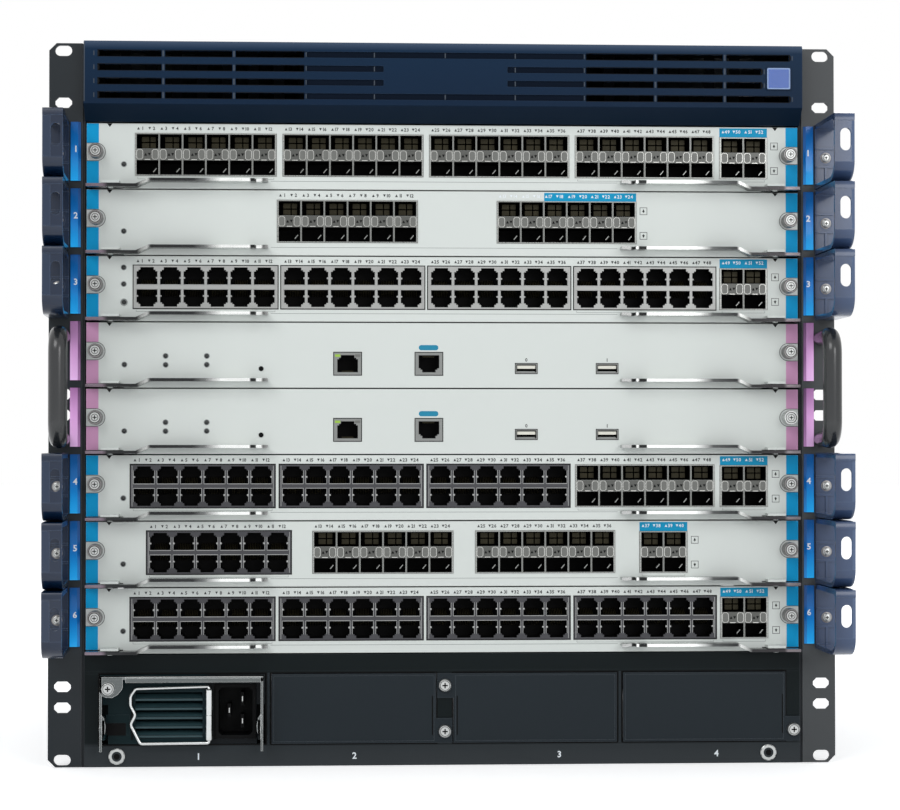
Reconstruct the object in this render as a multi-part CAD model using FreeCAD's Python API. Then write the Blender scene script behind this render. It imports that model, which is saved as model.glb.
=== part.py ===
"""Ten-unit modular chassis switch: a sheet steel chassis with eight horizontal card slots.

Millimetres. X runs to the right, Y into the rack and Z up. The sub-parts are drawn with Y = 0 on
the front face of the rack ears and Z = 0 on the underside of the chassis. On export everything
moves back by frame_y, so that the origin lies under the middle of the whole assembly.
"""
import FreeCAD, Part
import math
import os

V = FreeCAD.Vector

# ---------------------------------------------------------------- rack fit and chassis
unit_height = 44.45
rack_units = 10
height_allowance = 3.5          # the chassis is this much lower than its rack units
low_hole = 6.35                 # first and third fixing heights within one rack unit
high_hole = 38.1
ear_span = 482.6
ear_width = 20.3                # how far an ear stands out past the side of the chassis
rack_slot_inset = 8.75          # from the outer edge of an ear to the middle of its slots
rack_slot_length = 10.2
rack_slot_height = 6.4
ear_thickness = 2.0
ear_corner = 4.5
ear_flange_depth = 38.0
floor_gap = 0.3                 # ears and front frame end this far above the underside
body_depth = 430.0
sheet = 1.6
side_vent_front = 70.0
side_vent_rear = 120.0          # from the rear end of the vents to the rear wall
side_vent_height = 8.0

# ---------------------------------------------------------------- card cage
slot_count = 8
cage_bottom = 68.6
bezel_band = 48.4               # height left above the card cage for the vent bezel
panel_side_gap = 2.5            # from the end of a panel to the side of the chassis
panel_sheet = 1.5
panel_gap = 0.8                 # between one card's panel and the next
panel_flange = 11.0
board_bottom = 6.5              # underside of a board above the bottom of its slot
board_thickness = 1.8
board_side_gap = 5.4            # from the edge of a board to the side wall
board_corner = 22.0             # the front corners of a board are cut off this far in
rear_connector_share = 0.5      # place of a rear connector between the middle and the side wall
rear_connector_size = (120.0, 16.0, 18.0)
connector_gap = 3.0             # a board's connector stands this far out behind it
backplane_connector = 18.7      # depth of the connectors on the backplane
mating_gap = 0.3
guide_front = 16.0
guide_lip = 1.2
guide_inset = 9.0               # how far a guide reaches in from the side wall
guide_clearance = 0.2

# ---------------------------------------------------------------- ports
port_face = 0.4                 # how far the port housings stand proud of their panel
port_depth = 24.0
port_columns = 6
uplink_columns = 2
copper_width = 87.6
copper_height = 26.0
copper_wall = 1.0
copper_opening = 11.8
copper_body_height = 6.9
copper_latch_width = 6.2
copper_latch_height = 2.6
copper_margin = 1.6
copper_socket_depth = 14.0
optic_width = 86.0
optic_height = 25.9
optic_pitch = 14.2
optic_opening = 13.3
optic_opening_height = 8.9
optic_margin = 0.55
optic_socket_depth = 21.0
uplink_width = 29.6
uplink_height = 25.4
cutout_clearance = 0.2
port_margin = 12.0              # a port block keeps this far from the end of its panel

# which port blocks each line card carries, by slot from the top: kind and centre in X
card_ports = {
    1: (("optic", -146.1), ("optic", -56.2), ("optic", 33.6), ("optic", 123.4), ("uplink", 184.7)),
    2: (("optic", -59.6), ("optic", 75.2)),
    3: (("copper", -146.1), ("copper", -56.3), ("copper", 33.6), ("copper", 123.5), ("uplink", 184.7)),
    6: (("copper", -147.7), ("copper", -57.2), ("copper", 33.1), ("optic", 123.4), ("uplink", 184.7)),
    7: (("copper", -137.8), ("optic", -37.8), ("optic", 61.8), ("uplink", 134.8)),
    8: (("copper", -147.7), ("copper", -57.2), ("copper", 33.1), ("copper", 123.5), ("uplink", 184.8)),
}
supervisor_slots = (4, 5)

# supervisor sockets: two single jacks and two serial bus sockets on each board
jack_width = 16.6
jack_height = 13.6
management_x = -59.5
console_x = -9.7
bus_x = (50.2, 100.1)
bus_width = 13.2
bus_height = 6.0
bus_above_slot = 12.3           # centre of the serial bus sockets above the bottom of the slot
bus_wall = 0.4
bus_tongue = 1.9
bus_depth = 14.0
bus_tongue_front = 0.6
bus_tongue_rise = 0.9           # above the middle of the socket
bus_stand_front = 2.5
bus_inset = 1.0                 # of the tongue and the stand, from the sides of the shell

# ---------------------------------------------------------------- card hardware
knob_inset = 6.0                # from the end of the panel
knob_height = 22.5              # above the bottom of the slot
knob_radius = 4.1
knob_length = 9.0
knob_sides = 8
lever_sheet = 1.8
lever_pivot_inset = 15.1        # from the end of the panel
lever_pivot_y = -6.0
lever_length = 95.4             # from the pivot to the tip
lever_low = 0.6                 # underside of the pivot end above the bottom of the slot
lever_rise = 3.5                # step of the bend between the pivot end and the bar
lever_bend = (16.1, 23.9)       # the bend starts and ends this far from the pivot
lever_hook = 14.6               # the hook reaches this far out from the pivot
lever_front = -11.0
lever_back = -1.2
lever_bevel = 0.6
lever_tip_slot = (4.0, 8.0)      # from the tip
lever_slot_depth = 4.0
rivet_radius = 1.6
pin_sides = 8
pin_fit = 0.06
lug_half = 5.5
lug_sheet = 1.5
lug_reach = 4.0                  # in front of the rivet
lug_notch_gap = 2.0              # from a lug to the notch that lets the lever through
lever_clearance = 0.4

# ---------------------------------------------------------------- push buttons
button_radius = 1.5
button_fit = 0.07
button_proud = 0.5
button_length = 6.5
button_collar = 2.6
mode_button_slot = 3
mode_button_at = (22.8, 11.9)       # from the left end of the panel, above the bottom of the slot
reset_button_at = (106.2, 12.0)

# ---------------------------------------------------------------- vent bezel
bezel_side_gap = 1.7
bezel_reach = 12.0
bezel_wall = 2.5
bezel_bevel = 1.4
bezel_gap = 0.5                 # between the bezel and the topmost card
bezel_lip = 2.0                 # how far the lower edge of the sloping band stands forward
bezel_slope_height = 9.8        # height of the sloping band under the flat face
bezel_slot_height = 3.7
bezel_slot_pitch = 8.45
bezel_top_slot = 7.7            # centre of the top row below the top of the chassis
bezel_rows = 4
bezel_margin = 8.3              # from the end of the bezel to the first open slot
bezel_open_length = 125.0       # open slots run this far in from there
bezel_rib_places = (42.6, 85.3)     # ribs across the open slots, from their inner end
bezel_rib = 2.0
bezel_badge_gap = 17.3          # the middle rows stop this short on the right, beside the badge
bezel_blank = 48.2              # the middle rows of grooves have this length, round a plain field
bezel_groove = 0.8
badge_width = 15.0
badge_height = 13.6
badge_proud = 1.0
screen_gap = 0.3                # from the edges of the screen to the walls of the chassis
screen_front = 2.0
screen_sheet = 1.2
screen_step = 15.6
screen_slot = 9.4
screen_slot_height = 30.0
screen_margin = 3.6             # from the top of the screen to its slots

# ---------------------------------------------------------------- cable brackets and handles
bracket_reach = 60.0
bracket_wall = 3.0
bracket_gap = 0.7               # between one bracket and the next
bracket_bottom = 1.8            # underside of a bracket above the bottom of its slot
bracket_outset = 7.6            # from the side of the chassis to the inner face of a bracket
bracket_edge = 0.3              # from the outer face of a bracket to the edge of the ear
bracket_chamfer = 9.0
bracket_base = 2.4
bracket_bevel = 1.0
bracket_rib = 1.4
bracket_slot_width = 6.2
bracket_slot_height = 14.0
bracket_strap = 23.0            # height of that slot's centre above the underside of the bracket
bracket_screw_inset = 5.7       # from the edge of the ear
bracket_screw_height = 21.1
bracket_rib_offset = 6.6        # ribs above and below the screw
bracket_slots = (1, 2, 3, 6, 7, 8)
screw_radius = 3.3
screw_head = 1.8
screw_sides = 8
handle_inset = 10.3             # from the edge of the ear
handle_radius = 5.7
handle_bend = 11.0
handle_bend_steps = 3
handle_sides = 12
handle_reach = 50.0
handle_height = 62.6            # between the centres of the two legs

# ---------------------------------------------------------------- power section
power_top = 56.6
power_bottom = 13.6
power_vent_margin = 12.0        # round the air outlets in the rear wall
bay_side = 9.1                  # from the side wall to the first bay
bay_divider = 3.3
post_half = 5.0
frame_flange = 14.0
frame_gap = 0.2                 # from the frame to the side walls
blank_gap = 0.35
blank_sheet = 1.5
blank_flange = 12.0
blank_tab_height = 15.0
blank_tab_gap = 0.4              # from a tab to the edge of its post
blank_overlap = 1.0              # a tab runs this far into its blank
blank_screw_radius = 4.0
blank_screw_head = 3.2
esd_inset = 19.9                # from the side wall
esd_height = 6.7
esd_radius = 4.9
esd_bore = 2.0
esd_proud = 1.6
partition_rear = 110.0          # from the rear end of a partition to the rear wall

# ---------------------------------------------------------------- power supply
supply_gap = 0.5
supply_rear = 130.0             # from the rear end of the supply to the rear wall
supply_leg_pocket = (5.0, 24.0, 16.0)   # width, height and depth beside each handle leg
grille_left = 21.4              # from the left side of the supply
grille_width = 40.8
grille_low = 3.4                # above the underside of the supply
grille_height = 28.0
louvre_count = 5
louvre_depth = 7.0
louvre_sheet = 1.2
inlet_right = 17.8              # from the right side of the supply to the middle of the inlet
inlet_up = 19.7                 # from the underside of the supply to the middle of the inlet
inlet_width = 25.4
inlet_height = 33.6
inlet_cavity = (20.7, 29.0, 18.0)
inlet_proud = 0.8
inlet_clearance = 0.3            # round the moulding in its cut-out
inlet_corner = 2.0
inlet_back = 5.7                 # of the moulding behind its cavity
blade_size = (2.0, 8.0)
blade_setback = 5.0
blade_places = ((4.0, 7.0), (-4.0, 0.0), (4.0, -6.5))
bail_sheet = 1.4
bail_pivot_y = -9.0
bail_pivot_up = 9.9             # above the underside of the supply
bail_overlap = 0.1              # the handle's top stops this short of the supply's top
bail_side = 0.8                 # from the side of the supply to a leg
bail_foot = 13.2
bail_leg_width = 7.0
bail_boss_radius = 4.6
bail_tab = (14.0, 12.5)
bail_tab_corners = (3.0, 5.0)    # cut off at its inner and outer lower corner
bail_tab_gap = 1.5               # from the tab to the bar
bail_bar_height = 3.6
bail_heel = (2.5, 1.0)           # of a foot, in front of and behind the pivot
bail_foot_rise = 2.0             # the foot tapers from this far under the pivot
bail_screw_at = (5.2, 7.0)       # from the left side and the top of the handle
bail_screw_head = 3.0
bail_lug_gap = 0.3
bail_lug_reach = 4.0             # in front of the pivot
bail_lug_half = 6.0
pivot_end = 0.5                  # a pin stands this far out of its leg
pivot_radius = 1.5
clip_wire = 1.0
clip_axis_y = -4.2
clip_gap = 4.1                  # from the grille to the axis of the clip
clip_length = 44.5
clip_low = 0.9                  # lowest wire above the underside of the supply
clip_height = 34.3
clip_wave = 3.0                  # the far side of the wire weaves in and out by this
clip_return = (8.0, 7.0)         # the wire's two ends run back along its axis by these
clip_slant = (0.3, 1.2)          # the lower and upper runs tilt by these
clip_barrel = 1.9
barrel_gap = 0.6                # from the ends of the barrel to the wire; also half its web

# ---------------------------------------------------------------- rear
backplane_rear = 78.0           # from the front face of the backplane to the rear wall
backplane_thickness = 3.2
backplane_rail = 14.4           # width of the rail at each side
backplane_stand = 6.0
backplane_top_gap = 2.0
backplane_rail_depth = 12.0
fan_opening = (150.0, 290.0)    # width and height of the opening in the rear wall
fan_tray_margin = 9.0
fan_tray_depth = 40.0
fan_bore = 61.0
fan_spacing = 140.0
fan_hub = 22.0
fan_blades = 7
fan_blade_tip = 55.5
fan_hub_sides = 12
fan_axle = 3.0
fan_duct_gap = 0.5               # round the duct in the rear opening
spider_depth = 4.0
spider_bar = 5.0
axle_front = 6.0                 # of an axle and of a rotor, behind the front of the duct
rotor_front = 8.0
rotor_back = 6.0                 # from a rotor to the rear face
blade_root = 12.0                # a blade starts this far from the axle
blade_chord = 22.0               # across the airflow, from edge to edge
blade_thickness = 1.6
blade_inset = 1.0                # from the ends of the hub

# ---------------------------------------------------------------- derived places
body_height = rack_units * unit_height - height_allowance
unit_base = -height_allowance / 2
ear_half = ear_span / 2
body_half = ear_half - ear_width
inner_half = body_half - sheet
panel_half = body_half - panel_side_gap
bezel_half = body_half - bezel_side_gap
bezel_open_x = (bezel_half - bezel_margin - bezel_open_length, bezel_half - bezel_margin)
rack_slot_x = ear_half - rack_slot_inset
cage_top = body_height - bezel_band
card_pitch = (cage_top - cage_bottom) / slot_count
rear_face = body_depth + sheet
frame_y = (rear_face - bracket_reach) / 2
board_top = board_bottom + board_thickness
board_edge_x = inner_half - board_side_gap
backplane_front = body_depth - backplane_rear
backplane_half = inner_half - backplane_rail
board_depth = backplane_front - backplane_connector - mating_gap - connector_gap
rear_connector_x = (-rear_connector_share * inner_half, rear_connector_share * inner_half)
lever_pivot_x = panel_half - lever_pivot_inset
knob_x = panel_half - knob_inset
bracket_x = (body_half + bracket_outset, ear_half - bracket_edge)
bracket_height = card_pitch - bracket_gap
bracket_screw_x = ear_half - bracket_screw_inset
handle_x = ear_half - handle_inset
esd_x = inner_half - esd_inset
bay_width = (inner_half - post_half - bay_divider - bay_side) / 2
bay_left = (-post_half - 2 * bay_width - bay_divider, -post_half - bay_width,
            post_half, post_half + bay_width + bay_divider)
supply_left = bay_left[0] + supply_gap
supply_right = bay_left[0] + bay_width - supply_gap
supply_low = power_bottom + supply_gap
supply_high = power_top - supply_gap
grille_x = (supply_left + grille_left, supply_left + grille_left + grille_width)
grille_z = (supply_low + grille_low, supply_low + grille_low + grille_height)
inlet_x = supply_right - inlet_right
inlet_z = supply_low + inlet_up
bail_pivot_z = supply_low + bail_pivot_up
bail_top = supply_high - bail_overlap
clip_axis_x = grille_x[1] + clip_gap
clip_far_x = clip_axis_x - clip_length
clip_z = (supply_low + clip_low, supply_low + clip_low + clip_height)
fan_middle = (cage_bottom + cage_top) / 2


def slot_bottom(slot):
    """Height of the bottom of a card slot, counted from the top."""
    return cage_bottom + (slot_count - slot) * card_pitch


def box(x0, x1, y0, y1, z0, z1):
    return Part.makeBox(x1 - x0, y1 - y0, z1 - z0, V(x0, y0, z0))


def centred_box(x, width, y0, y1, z, height):
    return box(x - width / 2, x + width / 2, y0, y1, z - height / 2, z + height / 2)


def prism(points, along):
    """A straight prism over a closed outline of points."""
    return Part.Face(Part.makePolygon(points + [points[0]])).extrude(along)


def side_prism(outline, x0, x1):
    """A prism along X over an outline given as pairs of Y and Z."""
    return prism([V(x0, y, z) for y, z in outline], V(x1 - x0, 0, 0))


def front_prism(outline, y0, y1):
    """A prism along Y over an outline given as pairs of X and Z."""
    return prism([V(x, y0, z) for x, z in outline], V(0, y1 - y0, 0))


def many_sided_bar(x, z, radius, sides, y0, y1):
    """A bar along Y with flats, used for knurled knobs and pan heads."""
    section = many_sided_section(V(x, y0, z), V(1, 0, 0), V(0, 0, 1), radius, sides)
    return Part.Face(section).extrude(V(0, y1 - y0, 0))


def many_sided_section(centre, across, along, radius, sides):
    """Closed outline with flats round a centre, in the plane of two directions."""
    turns = [2 * math.pi * (i + 0.5) / sides for i in range(sides)]
    ring = [centre + across * (radius * math.cos(t)) + along * (radius * math.sin(t)) for t in turns]
    return Part.makePolygon(ring + [ring[0]])


def many_sided_pin(base, along, radius, length):
    """A short pin with flats from a base point, along Z or along X."""
    across = V(1, 0, 0) if along.z else V(0, 0, 1)
    return Part.Face(many_sided_section(base, across, V(0, 1, 0), radius, pin_sides)).extrude(along * length)


def bent_bar(points, section):
    """One bar swept along straight runs with mitred bends."""
    sweep = Part.BRepOffsetAPI.MakePipeShell(Part.makePolygon(points))
    sweep.setTransitionMode(1)
    sweep.add(section, False, False)
    sweep.build()
    sweep.makeSolid()
    return sweep.shape()


def pin_bore(base, along, radius, length):
    """Cutter for the bore round such a pin, wide enough for the pin to turn in it."""
    return many_sided_pin(base, along, (radius + pin_fit) / math.cos(math.pi / pin_sides), length)


def obround(x, z, width, height, y0, y1):
    """A slot cutter along Y with round ends at the left and right."""
    radius, run = height / 2, (width - height) / 2
    core = centred_box(x, 2 * run, y0, y1, z, height)
    ends = [Part.makeCylinder(radius, y1 - y0, V(x + side * run, y0, z), V(0, 1, 0)) for side in (-1, 1)]
    return core.fuse(ends)


def clipped_slot(x, z, width, height, y0, y1):
    """A slot cutter along Y with its four corners clipped."""
    half, tall, corner = width / 2, height / 2, min(width, height) / 3
    quarter = [(half, tall - corner), (half - corner, tall)]
    outline = quarter + [(-px, pz) for px, pz in reversed(quarter)]
    outline += [(-px, -pz) for px, pz in quarter] + [(px, -pz) for px, pz in reversed(quarter)]
    return front_prism([(x + px, z + pz) for px, pz in outline], y0, y1)


def flipped(shape):
    """The same piece on the other side of the chassis."""
    return shape.mirror(V(0, 0, 0), V(1, 0, 0))


def joined(first, *others):
    return first.fuse(list(others)).removeSplitter()


def group(pieces):
    return Part.makeCompound(pieces)


# ---------------------------------------------------------------- chassis
def chassis_shell():
    """Folded shell, open at the front, with the shelf over the power bays and the rear opening."""
    outer = box(-body_half, body_half, sheet, body_depth, 0, body_height)
    inner = box(-inner_half, inner_half, 0, body_depth - sheet, sheet, body_height - sheet)
    shell = outer.cut(inner)
    shelf_top = cage_bottom - panel_gap
    shelf = box(-inner_half, inner_half, frame_flange, body_depth - sheet, shelf_top - sheet, shelf_top)
    opening = centred_box(0, fan_opening[0], body_depth - 2 * sheet, rear_face,
                          fan_middle, fan_opening[1])
    cutters = [opening] + side_vents() + power_vents()
    return shell.fuse(shelf).cut(cutters).removeSplitter()


def side_vents():
    """One row of upright air slots beside each card, through both side walls."""
    cutters = []
    for slot in range(1, slot_count + 1):
        low = slot_bottom(slot) + (card_pitch - side_vent_height) / 2 + board_thickness
        cutters.append(box(-ear_span, ear_span, side_vent_front, body_depth - side_vent_rear,
                           low, low + side_vent_height))
    return cutters


def power_vents():
    """Air outlets in the rear wall behind the power bays."""
    middle = (power_top + power_bottom) / 2
    cutters = []
    for left in bay_left:
        cutters.append(centred_box(left + bay_width / 2, bay_width - 2 * power_vent_margin,
                                   body_depth - 2 * sheet, rear_face, middle,
                                   power_top - power_bottom - power_vent_margin))
    return cutters


def card_guides():
    """Grooved rails on both side walls, one pair to a slot."""
    rails = []
    lower = board_bottom - guide_clearance
    upper = board_top + guide_clearance
    reach = inner_half - guide_inset
    groove = board_edge_x + guide_clearance
    for slot in range(1, slot_count + 1):
        base = slot_bottom(slot)
        rail = box(reach, inner_half, guide_front, backplane_front - backplane_stand,
                   base + lower - guide_lip, base + upper + guide_lip)
        rail = rail.cut(box(reach - 1, groove, guide_front - 1, backplane_front,
                            base + lower, base + upper))
        rails += [rail, flipped(rail)]
    return group(rails)


def rack_ear():
    """Right-hand ear: an L of sheet with its corners cut off and the rack slots through it.

    The slots at the two ends locate the chassis and are fully round; those between have clipped ends.
    """
    face = box(body_half, ear_half, 0, ear_thickness, floor_gap, body_height)
    corners = [edge for edge in face.Edges
               if edge.BoundBox.XMin > ear_half - 0.01 and edge.BoundBox.ZLength < 0.01]
    face = face.makeChamfer(ear_corner, corners)
    flange = box(body_half, body_half + ear_thickness, 0, ear_flange_depth, floor_gap, body_height)
    ear = joined(face, flange)
    heights = rack_slot_heights()
    ends = [obround(rack_slot_x, z, rack_slot_length, rack_slot_height, -1, ear_thickness + 1)
            for z in (heights[0], heights[-1])]
    between = [clipped_slot(rack_slot_x, z, rack_slot_length, rack_slot_height, -1, ear_thickness + 1)
               for z in heights[1:-1]]
    return ear.cut(ends + between)


def rack_slot_heights():
    half = rack_units // 2
    places = ((0, low_hole), (0, high_hole), (1, low_hole), (half - 1, high_hole), (half, low_hole),
              (rack_units - 1, low_hole), (rack_units - 1, high_hole))
    return [unit_base + unit * unit_height + hole for unit, hole in places]


def rack_ears():
    ear = rack_ear()
    return group([ear, flipped(ear)])


# ---------------------------------------------------------------- vent bezel
def bezel_outline(inset):
    """Section of the bezel in Y and Z: bevelled top edge, flat face, sloping band, open back."""
    top = body_height - inset
    face = -bezel_reach + inset
    low = cage_top + bezel_gap + inset
    return [(0, top), (face + bezel_bevel, top), (face, top - bezel_bevel),
            (face, low + bezel_slope_height), (-bezel_lip + inset / 2, low), (0, low)]


def bezel_spans(row):
    """Open slots and blind grooves of one row, as pairs of X."""
    inner_end, outer_end = bezel_open_x
    edges = [inner_end]
    for place in bezel_rib_places:
        edges += [inner_end + place - bezel_rib / 2, inner_end + place + bezel_rib / 2]
    middle_row = 0 < row < bezel_rows - 1
    right = edges + [outer_end - bezel_badge_gap if middle_row else outer_end]
    left = edges + [outer_end]
    open_spans = [(right[i], right[i + 1]) for i in range(0, len(right), 2)]
    open_spans += [(-left[i + 1], -left[i]) for i in range(0, len(left), 2)]
    if middle_row:
        blind = [(-inner_end, bezel_blank - inner_end), (inner_end - bezel_blank, inner_end)]
    else:
        blind = [(-inner_end, inner_end)]
    return open_spans, blind


def vent_bezel():
    """Hollow moulded bezel with four rows of slots and a plain raised badge field."""
    shell = side_prism(bezel_outline(0), -bezel_half, bezel_half)
    inside = bezel_half - bezel_wall
    hollow = side_prism(bezel_outline(bezel_wall), -inside, inside)
    hollow = hollow.fuse(box(-inside, inside, -bezel_lip, 1.0,
                             cage_top + bezel_gap + bezel_wall, body_height - bezel_wall))
    shell = shell.cut(hollow)
    cutters = []
    for row in range(bezel_rows):
        z = body_height - bezel_top_slot - row * bezel_slot_pitch
        open_spans, blind = bezel_spans(row)
        z0, z1 = z - bezel_slot_height / 2, z + bezel_slot_height / 2
        cutters += [box(x0, x1, -bezel_reach - 1, 0, z0, z1) for x0, x1 in open_spans]
        cutters += [box(x0, x1, -bezel_reach - 1, -bezel_reach + bezel_groove, z0, z1) for x0, x1 in blind]
    badge_z = body_height - bezel_top_slot - (bezel_rows - 1) / 2 * bezel_slot_pitch
    badge_x = bezel_open_x[1] + 1 - badge_width / 2
    badge = centred_box(badge_x, badge_width, -bezel_reach - badge_proud, -bezel_reach + bezel_wall / 2,
                        badge_z, badge_height)
    return joined(shell.cut(cutters), badge)


def vent_screen():
    """Sheet screen behind the bezel with a comb of upright slots under each run of open slots."""
    top = body_height - sheet - screen_gap
    low = cage_top + 2 * bezel_gap
    back = screen_front + screen_sheet
    plate = box(screen_gap - inner_half, inner_half - screen_gap, screen_front, back, low, top)
    cutters = []
    for i in range(int(bezel_open_length // screen_step)):
        x = bezel_open_x[0] + (i + 0.5) * screen_step
        for side in (-1, 1):
            cutters.append(centred_box(side * x, screen_slot, screen_front - 1, back + 1,
                                       top - screen_margin - screen_slot_height / 2, screen_slot_height))
    return plate.cut(cutters)


# ---------------------------------------------------------------- cards
def port_size(kind):
    if kind == "copper":
        return copper_width, copper_height
    if kind == "optic":
        return optic_width, optic_height
    return uplink_width, uplink_height


def copper_socket(x, z, up):
    """Cutter for one jack: a wide opening with its latch notch above or below."""
    half, latch = copper_opening / 2, copper_latch_width / 2
    body, total = copper_body_height, copper_body_height + copper_latch_height
    outline = [(-half, 0), (half, 0), (half, body), (latch, body), (latch, total), (-latch, total),
               (-latch, body), (-half, body)]
    sign = 1 if up else -1
    points = [(x + px, z + sign * pz) for px, pz in outline]
    return front_prism(points, -port_face - 1, -port_face + copper_socket_depth)


def copper_block(x, base):
    """Two rows of six jacks in one moulded housing."""
    z0 = base + board_top
    block = centred_box(x, copper_width, -port_face, port_depth, z0 + copper_height / 2, copper_height)
    pitch = (copper_width - 2 * copper_wall) / port_columns
    rise = copper_margin + copper_latch_height + copper_body_height
    cutters = []
    for column in range(port_columns):
        cx = x + (column - (port_columns - 1) / 2) * pitch
        cutters.append(copper_socket(cx, z0 + rise, False))
        cutters.append(copper_socket(cx, z0 + copper_height - rise, True))
    return block.cut(cutters)


def optic_block(x, base, columns, width, height):
    """Two rows of pluggable cages with a belt for the light pipes between them."""
    z0 = base + board_top
    block = centred_box(x, width, -port_face, port_depth, z0 + height / 2, height)
    cutters = []
    for column in range(columns):
        cx = x + (column - (columns - 1) / 2) * optic_pitch
        for z in (z0 + optic_margin + optic_opening_height / 2,
                  z0 + height - optic_margin - optic_opening_height / 2):
            cutters.append(centred_box(cx, optic_opening, -port_face - 1, -port_face + optic_socket_depth,
                                       z, optic_opening_height))
    return block.cut(cutters)


def port_block(kind, x, base):
    if kind == "copper":
        return copper_block(x, base)
    width, height = port_size(kind)
    columns = port_columns if kind == "optic" else uplink_columns
    return optic_block(x, base, columns, width, height)


def blocks_that_fit(slot):
    """Port blocks of one card that lie wholly between the ends of its panel."""
    limit = panel_half - port_margin
    return [(kind, x) for kind, x in card_ports.get(slot, ()) if abs(x) + port_size(kind)[0] / 2 < limit]


def card_port_blocks(slot):
    return group([port_block(kind, x, slot_bottom(slot)) for kind, x in blocks_that_fit(slot)])


def single_jack(x, base, up):
    """One jack in a metal can on a supervisor board."""
    z0 = base + board_top
    can = centred_box(x, jack_width, -port_face, port_depth - 6, z0 + jack_height / 2, jack_height)
    spare = (jack_height - copper_body_height - copper_latch_height) / 2
    z = z0 + spare if up else z0 + jack_height - spare
    return can.cut(copper_socket(x, z, up))


def bus_socket(x, base):
    """Serial bus socket: a thin shell round a flat tongue, on its own short stand."""
    z = base + bus_above_slot
    shell = centred_box(x, bus_width, -port_face, bus_depth, z, bus_height)
    inside = centred_box(x, bus_width - 2 * bus_wall, -port_face - 1, bus_depth - 2, z,
                         bus_height - 2 * bus_wall)
    inner_width = bus_width - 2 * bus_inset
    tongue = centred_box(x, inner_width, bus_tongue_front, bus_depth, z + bus_tongue_rise, bus_tongue)
    stand = box(x - inner_width / 2, x + inner_width / 2, bus_stand_front, bus_depth,
                base + board_top - 0.01, z - bus_height / 2)
    return shell.cut(inside).fuse([tongue, stand])


def plain_board(slot):
    """Circuit board that runs in the guides, with its backplane connectors at the rear."""
    base = slot_bottom(slot)
    board = box(-board_edge_x, board_edge_x, panel_sheet, board_depth, base + board_bottom, base + board_top)
    corner = box(board_edge_x - board_corner, board_edge_x + 1, 0, guide_front, base, base + board_top + 1)
    board = board.cut([corner, flipped(corner)])
    width, depth, height = rear_connector_size
    connectors = [centred_box(x, width, board_depth - depth, board_depth + connector_gap,
                              base + board_top + height / 2, height) for x in rear_connector_x]
    return joined(board, *connectors)


def supervisor_board(slot):
    """A board with its two jacks and two bus sockets soldered on."""
    base = slot_bottom(slot)
    parts = [single_jack(management_x, base, True), single_jack(console_x, base, False)]
    parts += [bus_socket(x, base) for x in bus_x]
    return joined(plain_board(slot), *parts)


def captive_knob(base):
    """Right-hand captive screw, drawn up against the panel."""
    return many_sided_bar(knob_x, base + knob_height, knob_radius, knob_sides, -knob_length, 0)


def lever_lug(base):
    """Right-hand lug on the panel with the rivet that the ejector lever turns on."""
    z = base + lever_low + lever_sheet + lever_clearance
    lug = box(lever_pivot_x - lug_half, lever_pivot_x + lug_half, lever_pivot_y - lug_reach, 0, z,
              z + lug_sheet)
    shank = many_sided_pin(V(lever_pivot_x, lever_pivot_y, base), V(0, 0, 1), rivet_radius, z - base + 0.2)
    return lug.fuse(shank)


def panel_openings(slot):
    """Cut-outs for ports, sockets and buttons in one card's panel."""
    base = slot_bottom(slot)
    cutters = []
    for kind, x in blocks_that_fit(slot):
        width, height = port_size(kind)
        cutters.append(centred_box(x, width + 2 * cutout_clearance, -1, panel_sheet + 1,
                                   base + board_top + height / 2, height + 2 * cutout_clearance))
    if slot in supervisor_slots:
        for x in (management_x, console_x):
            cutters.append(centred_box(x, jack_width + 2 * cutout_clearance, -1, panel_sheet + 1,
                                       base + board_top + jack_height / 2,
                                       jack_height + 2 * cutout_clearance))
        for x in bus_x:
            cutters.append(centred_box(x, bus_width + 2 * cutout_clearance, -1, panel_sheet + 1,
                                       base + bus_above_slot, bus_height + 2 * cutout_clearance))
    for x, height in button_places(slot):
        cutters.append(many_sided_bar(x, base + height, button_radius + button_fit, knob_sides,
                                      -1, panel_sheet + 1))
    return cutters


def button_places(slot):
    """Buttons of one card, as pairs of X and height above the bottom of its slot."""
    if slot == mode_button_slot:
        inset, height = mode_button_at
    elif slot in supervisor_slots:
        inset, height = reset_button_at
    else:
        return []
    return [(inset - panel_half, height)]


def card_panel(slot):
    """Folded face plate with top and bottom flanges, lever notches, lugs and captive screws."""
    base = slot_bottom(slot)
    low, high = base + panel_gap / 2, base + card_pitch - panel_gap / 2
    face = box(-panel_half, panel_half, 0, panel_sheet, low, high)
    flange_half = lever_pivot_x - lug_half - lug_notch_gap
    bottom = box(-flange_half, flange_half, panel_sheet, panel_flange, low, low + panel_sheet)
    top = box(-flange_half, flange_half, panel_sheet, panel_flange, high - panel_sheet, high)
    notch_top = base + lever_low + lever_sheet + lever_clearance
    notch = box(flange_half, panel_half + 1, -1, panel_sheet + 1, base, notch_top)
    panel = face.fuse([bottom, top]).cut([notch, flipped(notch)] + panel_openings(slot))
    hardware = [captive_knob(base), lever_lug(base)]
    hardware += [flipped(piece) for piece in hardware]
    return joined(panel, *hardware)


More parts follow.
